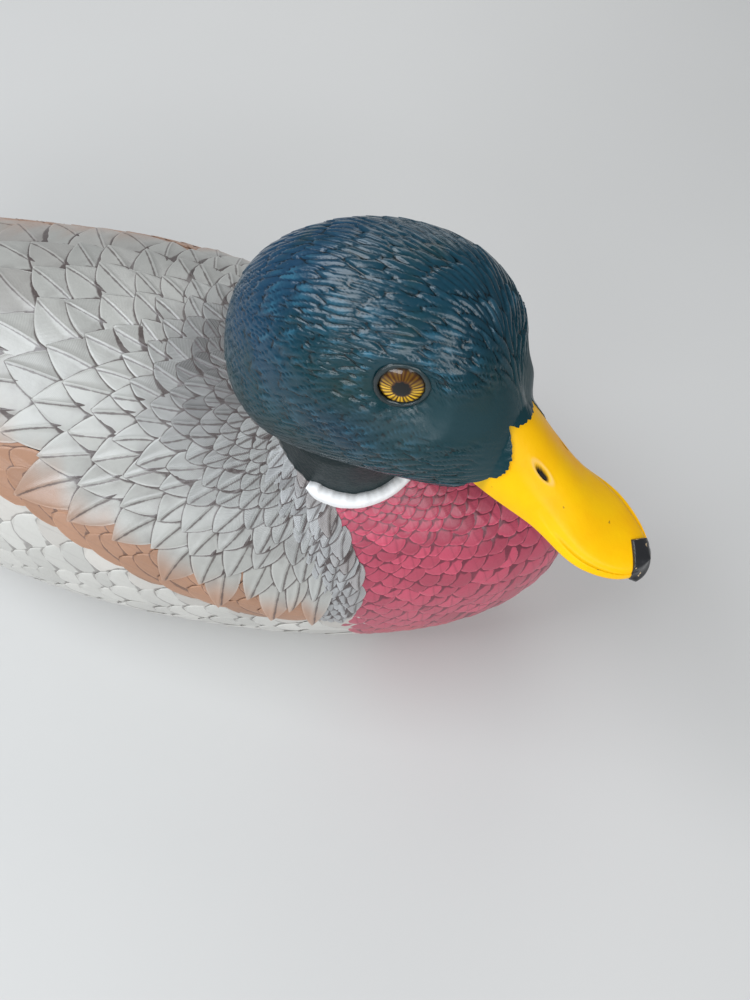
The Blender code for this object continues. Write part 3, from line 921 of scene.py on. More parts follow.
def mantle_plumage():
    """Feathers that spread from the neck over the back, larger and calmer further off."""
    rows = Plumage()
    seeds = [(i, j) for i in range(0, 18) for j in range(-34, 35) if (i + j) % 2 == 0]
    roots = np.array([j * MANTLE_SPACING for i, j in seeds])
    roots = roots + MANTLE_SPACING * chance.normal(0, 0.13, len(roots))
    wander = np.array([i + chance.normal(0, 0.15) for i, j in seeds])
    distances = MANTLE_FIRST * np.exp(MANTLE_RATIO * wander)
    lean = swirl(roots)
    bearings = roots + lean * np.log(distances / MANTLE_START)
    places, headings = on_polar(bearings, distances)
    for n, (i, j) in enumerate(seeds):
        bearing, distance, place, heading = bearings[n], distances[n], places[n], headings[n]
        above = place[2] - lip_height(place[1])
        lowest = 8.0 if place[1] > -88 else 0.0
        fringe_edge = red_bearing(distance) - degrees(FRINGE_HALF * 3.6 / distance)
        if abs(degrees(bearing)) > fringe_edge or above < lowest:
            continue
        if distance > 148 or place[1] > 62:
            continue
        near_red = smooth(1 - (red_bearing(distance) - abs(degrees(bearing))) / 24)
        rough = chance.random()
        step = min(distance, 118) * 2 * MANTLE_RATIO * (1 + 0.06 * chance.normal())
        step *= 1 - 0.22 * near_red
        turn = np.arctan(lean[n]) + 0.11 * chance.normal()
        sideways = np.cross((0, 0, 1.0), heading)
        if dot(sideways, np.array((np.cos(bearing), -np.sin(bearing), 0)))[0] <= 0:
            sideways = -sideways
        turned = unit(heading * cos(turn) + unit(sideways) * sin(turn))
        rows.add(
            i, j, place, turned, step=step,
            width=2 * MANTLE_SPACING * neck_radius(place) * (1 + 0.09 * chance.normal())
            * mix(1.0, 0.72, near_red),
            pointed=0.35 + 0.65 * smooth((distance - 40) / 30),
            paint=blend_rows(mantle_colour(distance, rough, bearing), EDGE_GREY, 0.5 * near_red),
            barb=0.9 * smooth((66 - distance) / 30) + 0.15 + 0.5 * near_red,
            warp=0.10 * chance.normal(),
            overlap=1.75 + 0.5 * near_red,
            sweep=0.12 * chance.normal(),
            **unwrap(bearing, distance, (0, 60)),
        )
    return rows


def fringe_plumage():
    """Small crinkled feathers where the mantle meets the breast, as regular tiles beside the line."""
    rows = Plumage()
    seeds = [
        (i, j, side)
        for side in (-1, 1) for i in range(0, 27) for j in range(0, 6) if (i + j) % 2 == 0
    ]
    distances = np.array([FRINGE_FIRST + FRINGE_STEP * (i + 0.16 * chance.normal()) for i, j, side in seeds])
    inset = np.array([FRINGE_HALF * (j + 0.25 + 0.14 * chance.normal()) for i, j, side in seeds])
    limits = np.array([red_bearing(d) for d in distances])
    bearings = np.array([side for i, j, side in seeds]) * np.radians(limits - 57.3 * inset / distances)
    places, headings = on_polar(bearings, distances)
    for (i, j, side), bearing, distance, place, heading in zip(seeds, bearings, distances, places, headings):
        if place[2] < lip_height(place[1]) - 2:
            continue
        rough = chance.random()
        turn = side * 0.16 + 0.13 * chance.normal()
        flat = unit(np.cross((0, 0, 1.0), heading))
        # Darker nearer the neck, partly darker paint and partly painted shade under the head.
        colour = blend_rows(SILVER_GREY, DARK_GREY, 0.5 * rough * smooth((70 - distance) / 40))
        colour = blend_rows(colour, MAUVE, 0.35 * rough * smooth(1 - j / 2))
        rows.add(
            i, j + 40 * side, place, unit(heading * cos(turn) + flat * sin(turn)),
            step=2 * FRINGE_STEP, width=2 * FRINGE_HALF * (1 + 0.1 * chance.normal()), pointed=0.75,
            paint=colour, barb=0.9, warp=0.10 * chance.normal(), sweep=0.15 * chance.normal(),
            base=0.40 - 0.06 * j, quill=0.9,
            **unwrap(bearing, distance),
        )
    return rows


def breast_plumage():
    """Small rounded feathers round the breast, red towards the water line."""
    rows = Plumage()
    seeds = [(i, j) for i in range(0, 43) for j in range(-39, 41) if (i + j) % 2 == 0 and abs(j) > 20]
    bearings = np.array([j * BREAST_SPACING + chance.normal(0, 0.16) * BREAST_SPACING for i, j in seeds])
    wander = np.array([i + chance.normal(0, 0.2) for i, j in seeds])
    distances = BREAST_FIRST * np.exp(BREAST_RATIO * wander)
    places, headings = on_polar(bearings, distances)
    for (i, j), bearing, distance, place, heading in zip(seeds, bearings, distances, places, headings):
        begins = red_bearing(distance) + 4 * smooth((62 - distance) / 12)
        if abs(degrees(bearing)) < begins or place[2] < LOWEST_ROOT:
            continue
        bright = smooth((48 - place[2]) / 22)
        rough = chance.random()
        near_grey = smooth(1 - (abs(degrees(bearing)) - red_bearing(distance)) / 16)
        colour = blend_rows(BURGUNDY * (0.85 + 0.35 * rough), BRIGHT_RED, bright * 0.8)
        colour = blend_rows(colour, DEEP_RED, 0.35 * near_grey * rough)
        rows.add(
            i, j, place, heading, step=distance * 2 * BREAST_RATIO,
            width=2 * BREAST_SPACING * neck_radius(place) * (1 + 0.08 * chance.normal()),
            pointed=0.1 + 0.25 * chance.random(), paint=colour, barb=0.15,
            quill=0.45 * rough, warp=0.05 * chance.normal(), sweep=0.1 * chance.normal(),
            **unwrap(bearing, distance),
        )
    return rows


def walk_section(y, start, distance):
    """Hull point a walked distance down the section at y, from the height of start or from the spine."""
    points = hull_point(np.full(len(SECTION_ANGLES), y), SECTION_ANGLES)
    walked = lengths_along(points)
    if start is not None:
        distance = np.interp(-start, -points[:, 2], walked) + distance
    return np.array([np.interp(distance, walked, points[:, axis]) for axis in range(3)])


def lip_walk(y, below_lip, side):
    """Hull point a walked distance below the lip, on one side of the section at y."""
    return walk_section(y, lip_height(y), below_lip) * (side, 1, 1)


def spine_walk(y, arc):
    """Hull point a walked distance from the spine, on the left where arc isn't below zero."""
    return walk_section(y, None, abs(arc)) * (1 if arc >= 0 else -1, 1, 1)


def side_plumage(side, first_y, last_y, half_step, offsets, dress):
    """Rows that run along the lip; dress(y, offset, place) gives a feather's looks, or None."""
    rows = Plumage()
    for i in range(int((last_y - first_y) / half_step) + 1):
        for j, offset in enumerate(offsets):
            if (i + j) % 2:
                continue
            y = first_y + (i + 0.14 * chance.normal()) * half_step
            shift = 0.5 * chance.normal()
            place = lip_walk(y, offset + shift, side)
            ahead = lip_walk(y + LOOK_AHEAD, offset + shift, side)
            looks = dress(y, offset, place)
            if looks is None:
                continue
            rows.add(
                i, j, place, unit(ahead - place), step=2 * half_step,
                map=np.array((offset - 20, y)), map_heading=np.array((0.0, 1.0)), **looks,
            )
    return rows


def flank_dress(y, offset, place):
    """Broad cream feathers, warmer close under the lip."""
    bearing = degrees(np.arctan2(abs(place[0] - NECK_FOOT[0]), place[1] - NECK_FOOT[1]))
    if place[2] < LOWEST_ROOT or bearing > FLANK_LAST_BEARING:
        return None
    rough = chance.random()
    colour = blend_rows(FLANK_CREAM, CREAM_GREY, 0.35 * rough + 0.4 * smooth((offset - 45) / 30))
    colour = blend_rows(colour, TAN, 0.30 * smooth((5 - offset) / 4))
    return dict(
        width=15.5, pointed=0.05, paint=colour, barb=0.2, warp=0.10 * chance.normal(), quill=0.25 * rough,
    )


def tan_dress(y, offset, place):
    """Small tan feathers along the lip."""
    if y < -90:
        return None
    rough = chance.random()
    colour = blend_rows(TAN * (0.82 + 0.4 * rough), MAUVE, 0.5 * np.clip(rough - 0.6, 0, 1))
    return dict(width=8.6, pointed=0.2, paint=colour, barb=0.3, warp=0.08 * chance.normal(), quill=0.15)


def rump_dress(y, arc, place):
    """Black feathers with a faint green."""
    if place[2] < 7:
        return None
    rough = chance.random()
    colour = BLACK * (0.8 + rough) + np.array((0.0, 0.004, 0.004)) * rough
    return dict(pointed=0.2, paint=colour, barb=0.5, warp=0.1 * chance.normal(), quill=0.5)


def spine_plumage(first_y, last_y, half_step, half_width, columns, dress):
    """Rows across the top of the hull, counted from the spine, lying towards the tail."""
    rows = Plumage()
    for i in range(int((last_y - first_y) / half_step) + 1):
        for j in range(-columns, columns + 1):
            if (i + j) % 2:
                continue
            y = first_y + (i + 0.10 * chance.normal()) * half_step
            arc = j * half_width
            place = spine_walk(y, arc)
            ahead = spine_walk(y + LOOK_AHEAD, arc)
            looks = dress(y, arc, place)
            if looks is None:
                continue
            rows.add(
                i, j, place, unit(ahead - place), step=2 * half_step, width=2 * half_width,
                map=np.array((arc, y - 60)), map_heading=np.array((0.0, 1.0)), **looks,
            )
    return rows


def scapular_dress(y, arc, place):
    """Long pointed feathers behind the mantle."""
    if abs(arc) > 62 or place[2] < lip_height(y) + 7:
        return None
    return dict(
        pointed=1.0, paint=mantle_colour(120.0, chance.random()), barb=0.15, warp=0.1 * chance.normal(),
    )


lay_feathers(
    "mantle_feathers", mantle_plumage(), PAINTS["mantle"],
    u_count=17, v_side=7, on_mantle=True, base_lift=0.25, tint=tan_tint,
)
lay_feathers(
    "fringe_feathers", fringe_plumage(), PAINTS["mantle"],
    u_count=11, v_side=5, base_lift=0.30, lift_base=0.25, lift_share=0.05, quill=0.22, dip=0.45,
)
lay_feathers(
    "breast_feathers", breast_plumage(), PAINTS["breast"],
    u_count=9, v_side=4, overlap=1.7, lift_base=0.30, lift_share=0.045, quill=0.10, roof=0.0, dome=0.045,
    dip=0.45,
)
for side, word in ((1, "left"), (-1, "right")):
    lay_feathers(
        "flank_feathers_" + word,
        side_plumage(side, -106, 96, 7.4, [3.5 + 6.2 * k for k in range(16)], flank_dress),
        PAINTS["flank"], u_count=11, v_side=5, lift_base=0.2, lift_share=0.04, quill=0.08,
        roof=0.0, dome=0.02,
    )
    lay_feathers(
        "tan_feathers_" + word,
        side_plumage(side, -92, 94, 5.4, [-14.5, -11.0, -7.5, -4.0], tan_dress),
        PAINTS["tan"], u_count=11, v_side=5, lift_base=0.25, lift_share=0.045,
        quill=0.1, on_mantle=True, roof=0.0, dome=0.02, tint=tan_tint,
    )
lay_feathers(
    "scapular_feathers", spine_plumage(50, 96, 12.0, 9.5, 6, scapular_dress),
    PAINTS["mantle"], u_count=15, v_side=6, on_mantle=True, base_lift=0.1, tint=tan_tint,
)
lay_feathers(
    "rump_feathers", spine_plumage(98, 158, 5.2, 4.6, 24, rump_dress), PAINTS["dark"],
    u_count=9, v_side=4, lift_base=0.2, lift_share=0.04, quill=0.12,
)


# ---------------------------------------------------------------- head

HEAD_FRAME = (
    Matrix.Translation(HEAD_PLACE)
    @ Matrix.Rotation(-HEAD_TURN, 4, "Z")
    @ Matrix.Rotation(HEAD_NOD, 4, "X")
    @ Matrix.Rotation(HEAD_ROLL, 4, "Y")
)
HEAD_MATRIX = np.array(HEAD_FRAME)


def to_world(points):
    """Points of the head's frame in the bird's frame."""
    return np.asarray(points) @ HEAD_MATRIX[:3, :3].T + HEAD_MATRIX[:3, 3]


def bill_outline(forward):
    """Half-width, ridge height and edge height of the bill."""
    s = (forward - BILL_ROOT) / (BILL_TIP - BILL_ROOT)
    waist = mix(BILL_ROOT_HALF, BILL_WAIST_HALF, smooth(s / 0.35))
    half = mix(waist, BILL_SPOON_HALF, smooth((s - 0.3) / 0.42))
    half = half * arch(np.clip((s - 0.5) / 0.5, 0, 1), 2.0, 0.5)
    ridge = mix(CULMEN_TIP, CULMEN_ROOT, np.clip(1 - s, 0, None) ** 1.6)
    ridge = np.where(s < 0, CULMEN_ROOT - 1.6 * s * (CULMEN_ROOT - CULMEN_TIP), ridge)
    return half, ridge, mix(EDGE_ROOT, EDGE_TIP, s)


def head_outline(forward):
    """Half-width, top, bottom and widest height of the head."""
    t = np.clip(-forward / HEAD_BACK, 0, 1)
    root_half, root_top, root_edge = bill_outline(BILL_ROOT)
    r = np.clip(forward / BILL_ROOT, 0, 1.2)
    behind = forward < 0
    half = np.where(
        behind,
        HEAD_HALF_WIDTH * arch(t, 2.3, 0.5),
        mix(root_half + FEATHER_STEP, HEAD_HALF_WIDTH, 1 - r ** 2.6),
    )
    top = np.where(
        behind,
        mix(NAPE_HEIGHT, HEAD_CROWN, arch(t, 2.3, 0.5)),
        mix(root_top + FEATHER_STEP, HEAD_CROWN, 1 - r ** 2.8),
    )
    bottom = np.where(
        behind,
        mix(NAPE_HEIGHT, -HEAD_CHIN, arch(t, 3.0, 0.5)),
        mix(root_edge - LOWER_BILL_DEPTH - FEATHER_STEP, -HEAD_CHIN, 1 - r ** 1.4),
    )
    widest = np.where(behind, mix(CHEEK_HEIGHT, NAPE_HEIGHT, t), mix(CHEEK_HEIGHT, root_edge + 3, r ** 2))
    return half, top, bottom, widest


def head_point(forward, angle, swell=0.0):
    """Point of the plain head, with the hollows that the eyes lie in."""
    forward, angle = np.broadcast_arrays(np.asarray(forward, float), np.asarray(angle, float))
    half, top, bottom, widest = head_outline(forward)
    across, up = superpoint(angle, HEAD_TOP_POWER, HEAD_CHIN_POWER)
    x = (half + swell) * across
    z = widest + np.where(up >= 0, top + swell - widest, widest - bottom + swell) * up
    settle = np.where(forward < 0, 1, 1 - (forward / BILL_ROOT) ** 2)
    y = -forward - HEAD_LEAN * z * settle
    away = np.hypot(y + EYE_AHEAD, z - EYE_HEIGHT) / HOLLOW_REACH
    x = x * (1 - EYE_HOLLOW * smooth(1 - away))
    return np.stack((x, y, z), -1)


def feather_edge(angle):
    """Forward place where the feathers end, at an angle round the head."""
    from_top = np.abs((np.degrees(angle) - 90 + 180) % 360 - 180)
    place = np.clip(from_top, 0, 180)
    low = np.clip(np.searchsorted(FEATHER_EDGE[:, 0], place, side="right") - 1, 0, len(FEATHER_EDGE) - 2)
    start, end = FEATHER_EDGE[low], FEATHER_EDGE[low + 1]
    return mix(start[..., 1], end[..., 1], smooth((place - start[..., 0]) / (end[..., 0] - start[..., 0])))


def eye_frames():
    """Frames of the two eyes in the head's frame, z outwards, as in the solids."""
    frames = {}
    for word, side in (("left", 1), ("right", -1)):
        outwards = Vector((side * cos(EYE_FORWARD), -sin(EYE_FORWARD), sin(EYE_UP)))
        place = head_point(EYE_AHEAD, pi / 2 - side * (pi / 2 - EYE_ANGLE), -EYE_INSET)
        turn = outwards.to_track_quat("Z", "Y").to_matrix().to_4x4()
        frames[word] = Matrix.Translation(Vector(place)) @ turn
    return frames


EYES = eye_frames()


def head_flow(p, normal):
    """The way that the head's feathers lie: back from the bill and down the nape."""
    fall = 0.10 + 0.42 * smooth((20 - p[..., 2]) / 16) * smooth((p[..., 1] + 32) / 18)
    fall = fall + 0.9 * smooth((p[..., 1] - 4) / 30)
    way = np.stack((p[..., 0] * 0.022, np.ones(p.shape[:-1]), -fall), -1)
    return unit(way - normal * dot(way, normal))


def grid_normals(points):
    """Outward normals of a grid that is closed along its second direction."""
    down = np.gradient(points, axis=0)
    wide = np.concatenate((points[:, -1:], points, points[:, :1]), 1)
    side = (wide[:, 2:] - wide[:, :-2]) / 2
    normal = unit(np.cross(down, side))
    middle = points.mean((0, 1))
    if (dot(normal, points - middle)).mean() < 0:
        normal = -normal
    return normal


# Fuller behind the right cheek and over the left brow, flatter behind the crown on the left.
HEAD_FULLNESS = (
    (np.array((-17.0, 21.0, -21.0)), 16.0, 3.2),
    (np.array((13.0, 24.0, 20.0)), 17.0, -1.8),
    (np.array((19.0, -12.0, 22.0)), 16.0, 2.0),
    (np.array((-15.0, -17.0, -27.0)), 15.0, -3.0),
)
HEAD_RINGS = 150
HEAD_AROUND = 600
STROKE_LONG = 5.6
STROKE_WIDE = 0.88
STROKE_TALL = 4.0
STROKE_ROOM = 1.30
STROKE_TRIES = 20000
STROKE_GROOVE = 0.40
STROKE_FOOT = 0.62
STROKE_RINGS = 17
FAR_STROKE = 9.0
BROW_RISE = 0.7
EYE_CALM = 5.8
SOCKET_ROOM = 0.7
SOCKET_FLOOR = -1.3
SOCKET_CONE = 0.50
SOCKET_REACH = 14.5
BLUE_CHEEK = np.array((0.004, 0.020, 0.052))
THROAT = np.array((0.002, 0.010, 0.014))
# Painted shade in the eye sockets.
SOCKET_SHADE = np.array((0.003, 0.003, 0.003))


def between(value, low, low_fade, high, high_fade):
    """1 from low to high, with a fade inside each end."""
    return smooth((value - low) / low_fade) * smooth((high - value) / high_fade)


def stroke_distance(gap, way, up, phase):
    """Distance from a stroke's middle, in strokes, for a row of gaps."""
    along = gap @ way
    across = gap @ np.cross(up, way) + 0.22 * np.sin(along * 0.7 + phase)
    return np.sqrt((along / STROKE_LONG) ** 2 + (across / STROKE_WIDE) ** 2 + (gap @ up / STROKE_TALL) ** 2)


def over_bill(p):
    """Points moved out from the bill's root, so that the feathers' edge lies on it."""
    forward = -p[:, 1]
    half, ridge, edge = bill_outline(forward)
    rise = p[:, 2] - edge
    level = np.hypot(p[:, 0] / half, np.maximum(rise, 0) / np.maximum(ridge - edge, 1))
    wanted = 1 + FEATHERS_OVER_BILL * smooth((forward - 32) / 4) / half
    near = (level > 0.5) & (forward > 32) & (rise > -3)
    scale = np.where(near, np.maximum(wanted / np.maximum(level, 0.5), 1), 1)
    closer = (1 + LEFT_FEATHERS_OVER_BILL / half) / np.maximum(level, 0.5)
    closer = mix(scale, closer, smooth((forward - 33) / 4) * smooth(p[:, 0] / 3))
    scale = np.where(near & (p[:, 0] > 0), closer, scale)
    moved = p.copy()
    moved[:, 0] *= scale
    moved[:, 2] = edge + rise * np.where(rise > 0, scale, 1)
    return moved


def head_grid(swing, angle):
    """Plain surface of the head, as rings from the back to the feathers' edge, with its normals."""
    edge = feather_edge(angle)
    edge = moving_mean(np.concatenate((edge[-5:], edge, edge[:5])), 11)
    edge = edge + 0.12 * np.sin(angle * 61) + 0.12 * np.sin(angle * 37 + 1)
    turn = (pi / 2) * (1 - 2 * swing)[:, None]
    forward = np.where(turn >= 0, -HEAD_BACK * np.sin(turn), -np.sin(turn) * edge[None, :])
    forward = np.clip(forward, -HEAD_BACK * 0.99999, None)
    base = head_point(forward, angle[None, :])
    normal = grid_normals(base)
    normal[0] = unit(np.array([0, 1.0, 0.0]))
    return base, normal, edge.mean()


def stroke_seeds(base, p, flow, up):
    """Middles of the strokes, thinned so that each keeps its own room."""
    area = np.linalg.norm(np.cross(np.gradient(base, axis=0), np.gradient(base, axis=1)), axis=-1).ravel()
    picks = chance.choice(len(area), STROKE_TRIES, p=area / area.sum())
    kept = np.zeros((len(picks), 3))
    seeds = []
    for pick in picks:
        gap = kept[: len(seeds)] - p[pick]
        if len(seeds) and stroke_distance(gap, flow[pick], up[pick], 0.0).min() < STROKE_ROOM:
            continue
        kept[len(seeds)] = p[pick]
        seeds.append(pick)
    return seeds


def carve_strokes(base, p, up):
    """Height of the carved strokes from 0 to about 1: cells round the seeds, parted by grooves."""
    flow = head_flow(p, up)
    nearest = np.full(len(p), FAR_STROKE)
    second = np.full(len(p), FAR_STROKE)
    tilt = np.zeros(len(p))
    tall = np.ones(len(p))
    grid = np.arange(len(p)).reshape(HEAD_RINGS, HEAD_AROUND)
    ring_room = np.linalg.norm(np.diff(base, axis=1), axis=-1).mean(1)
    for seed in stroke_seeds(base, p, flow, up):
        row, column = divmod(seed, HEAD_AROUND)
        low, high = max(0, row - STROKE_RINGS), min(HEAD_RINGS, row + STROKE_RINGS + 1)
        spare = int(FAR_STROKE / max(ring_room[low:high].min(), 0.02)) + 2
        columns = np.arange(HEAD_AROUND)
        if spare * 2 < HEAD_AROUND:
            columns = np.arange(column - spare, column + spare + 1) % HEAD_AROUND
        spots = grid[low:high][:, columns].ravel()
        gap = p[spots] - p[seed]
        phase = chance.random() * 2 * pi
        distance = stroke_distance(gap, flow[seed], up[seed], phase)
        along = gap @ flow[seed]
        better = distance < nearest[spots]
        second[spots] = np.where(better, nearest[spots], np.minimum(second[spots], distance))
        nearest[spots] = np.where(better, distance, nearest[spots])
        tilt[spots] = np.where(better, np.clip(0.5 + along / (2.4 * STROKE_LONG), 0, 1), tilt[spots])
        tall[spots] = np.where(better, 0.85 + 0.3 * chance.random(), tall[spots])
    return smooth((second - nearest) / STROKE_GROOVE) * (0.45 + 0.55 * tilt) * tall


def reshape_head(p, up):
    """The plain head with its brow, the channel from bill to eye and its fuller places."""
    x, y, z = p.T
    side_share = smooth(np.abs(x) / 12)
    depth = BROW_RISE * bell(z, 18, 4.5) * between(y, -38, 12, 2, 14) * side_share
    depth -= BROW_RISE * bell(z, 9, 4.5) * between(y, -36, 8, -17, 8) * side_share
    for centre, radius, amount in HEAD_FULLNESS:
        depth += amount * np.exp(-(((p - centre) ** 2).sum(-1)) / radius ** 2)
    return over_bill(p + up * depth[:, None])


def sink_sockets(shaped):
    """The head with a socket sunk along each eye's axis, and how far each point lies in one."""
    deep = np.zeros(len(shaped))
    for eye in EYES.values():
        inverse = np.array(eye.inverted())
        local = shaped @ inverse[:3, :3].T + inverse[:3, 3]
        radial = np.hypot(local[:, 0], local[:, 1])
        facing = local[:, 2] > -8
        sink = smooth((EYE_RADIUS + SOCKET_ROOM - radial) / 0.9) * facing
        cone = 0.15 + SOCKET_CONE * np.clip(radial - EYE_RADIUS - 0.6, 0, None)
        excess = np.where(facing, local[:, 2] - mix(cone, SOCKET_FLOOR, sink), 0)
        drop = 0.5 * (excess + np.sqrt(excess ** 2 + 0.6)) * smooth((SOCKET_REACH - radial) / 8)
        shaped = shaped - drop[:, None] * np.array(eye)[:3, 2]
        deep = np.maximum(deep, sink)
    return shaped, deep


def head_colour(p, deep):
    """Green paint, bluer on the crown and nape; darker on the throat, partly its own paint and partly painted
    shade on the down-facing lower cheeks; painted shade in the sockets.
    """
    y, z = p[:, 1], p[:, 2]
    nape = smooth((y + 2) / 26) * smooth((z + 14) / 20)
    crown = smooth((z - 12) / 14)
    colour = blend_rows(HEAD_GREEN, HEAD_BLUE, np.clip(0.9 * nape + 0.35 * crown, 0, 1))
    cheek_band = bell(z, -3, 7) * smooth((16 - np.abs(y + 4)) / 16)
    colour = blend_rows(colour, BLUE_CHEEK, 0.55 * cheek_band)
    # Darker low on the head: the throat's own darker paint, and painted shade on the lower cheeks, which face
    # down.
    throat = np.maximum(smooth((-15 - z) / 12), 0.6 * smooth((-8 - z) / 12))
    # Painted shade in the eye sockets, under the lids.
    return blend_rows(blend_rows(colour, THROAT, throat), SOCKET_SHADE, deep)


def make_head():
    """Head of carved strokes, from the neck to the feathers' edge over the bill."""
    rings, around = HEAD_RINGS, HEAD_AROUND
    swing = np.linspace(0, 1, rings)
    angle = np.linspace(0, 2 * pi, around, endpoint=False)
    base, normal, edge = head_grid(swing, angle)
    p, up = base.reshape(-1, 3), normal.reshape(-1, 3)
    raised = carve_strokes(base, p, up)

    # Where the strokes are deep, where painted highlights go on them and where the paint is matt.
    x, y, z = p.T
    eye_gap = np.full(len(p), 99.0)
    for eye in EYES.values():
        eye_gap = np.minimum(eye_gap, np.linalg.norm(p - np.array(eye)[:3, 3], axis=-1))
    lower = smooth((-8 - z) / 12)
    upper = smooth((z - 2) / 16)
    lores = smooth(1.5 - np.hypot((y + 30) / 8, (z - 9) / 5.5)) * smooth(np.abs(x) / 6)
    front = smooth((edge + y) / 5)
    off_eye = smooth((eye_gap - EYE_CALM) / 2.6)
    calm = (0.52 + 0.20 * upper) * (1 - 0.6 * lower) * (1 - 0.85 * lores) * (0.15 + 0.85 * front)
    carved = calm * (0.1 + 0.9 * off_eye) * (raised - STROKE_FOOT)
    cheek = bell(z, -2, 7) * between(y, -26, 8, 26, 14)
    jaw = bell(z, -13, 5) * between(y, -36, 6, -2, 10)
    dome = bell(z, 17, 9) * between(y, -30, 8, 28, 14)
    glint = np.clip(0.45 * cheek + 0.25 * jaw + 0.9 * dome, 0, 0.9) * (1 - 0.8 * lores)
    glint *= smooth((eye_gap - 6) / 3)
    matt = smooth((18 - eye_gap) / 6) * smooth((8 - z) / 5) * smooth((eye_gap - 5.6) / 1.5)
    matt = np.maximum(matt, lores)
    raised = mix(0.5, raised, (1 - 0.9 * lores) * (0.3 + 0.7 * front) * off_eye)
    shaped, deep = sink_sockets(reshape_head(p, up))

    # The last ring turns in behind the bill's edge, so that the feathers have a thickness.
    tuck = base[-1] - normal[-1] * 2.2 + np.array((0, 1.2, 0))
    hub_back = base[0].mean(0) + np.array((0, 0.35, 0))
    points = to_world(np.concatenate((shaped + up * carved[:, None], tuck, hub_back[None])))
    cells, last = rings * around, (rings - 1) * around
    faces = grid_faces(rings, around, closed=True).tolist()
    for k in range(around):
        m = (k + 1) % around
        faces.append((last + k, last + m, cells + m, cells + k))
        faces.append((m, k, cells + around))
    hidden = np.zeros(around + 1)
    around_map = (np.arange(around) + 0.5) / around
    patch = np.stack(np.broadcast_arrays(around_map[None, :], 0.02 + 0.94 * swing[:, None]), -1)
    tuck_patch = np.stack((around_map, np.full(around, 0.975)), -1)
    build("head_feathers", points, faces, PAINTS["head"], {
        "paint": np.concatenate((head_colour(p, deep), np.tile(BLACK, (around + 1, 1)))),
        "raised": np.concatenate((raised, hidden)),
        "glint": np.concatenate((glint, hidden)),
        "wash": np.concatenate((matt, hidden)),
    }, np.concatenate((patch.reshape(-1, 2), tuck_patch, [(0.5, 0.01)])))


make_head()


# ---------------------------------------------------------------- bill

# Nostrils: side, distance from the middle and size.
NOSTRILS = ((-1, 4.3, 1.0), (1, 7.4, 0.75))
NOSTRIL_Y = -46.6
NOSTRIL_DEPTH = 1.1
# Roll of the nail over the bill's rim: out from it and down.
NAIL_ROLL = ((0.55, 0.10), (1.00, 0.50), (1.25, 1.00), (1.15, 1.50), (0.65, 1.90), (-0.5, 2.00))
BILL_YELLOW = np.array((0.97, 0.545, 0.0006))
BILL_ORANGE = np.array((0.90, 0.42, 0.0006))
BILL_SHADE = np.array((0.66, 0.36, 0.006))
SCUFFED = np.array((0.75, 0.62, 0.35))
ROOT_SHADE = np.array((0.20, 0.20, 0.02))


def bill_share(forward):
    """Share of the way from the bill's root to its tip."""
    return (forward - BILL_ROOT) / (BILL_TIP - BILL_ROOT)


def bill_rings(rows, end):
    """Forward places from inside the head to the end, closer together towards it, and their shares."""
    s = np.linspace(0, 1, rows)
    return s, mix(BILL_ROOT - 7, end, 1 - (1 - s) ** 1.6)


def bill_surface(forward, across):
    """Points of the bill's upper side at a forward place and a share of its half-width."""
    half, ridge, edge = bill_outline(forward)
    up = np.clip(1 - np.abs(across) ** 2, 0, None) ** 0.5
    s = bill_share(forward)
    out = np.abs(across)
    toward_tip = smooth((s - 0.25) / 0.35)
    dish = -0.42 * bell(out, 0.86, 0.06) * toward_tip
    rim = 0.25 * bell(out, 0.945, 0.03) * toward_tip
    culmen = 0.35 * bell(out, 0, 0.30) * smooth((0.75 - s) / 0.4)
    hollow = -0.3 * bell(out, 0.55, 0.2) * bell(s, 0.30, 0.26)
    fade = arch(np.clip((s - 0.9) / 0.1, 0, 1), 2, 0.5)
    z = edge + (ridge - edge) * up + (dish + rim + culmen + hollow) * fade
    return np.stack((half * across, -forward, z), -1)


def nail_line(x):
    """Forward place where the nail's black begins, at a place across the bill."""
    beside = x - NAIL_APEX[0]
    return NAIL_APEX[1] + np.where(beside < 0, -beside * NAIL_SLOPES[0], beside * NAIL_SLOPES[1])


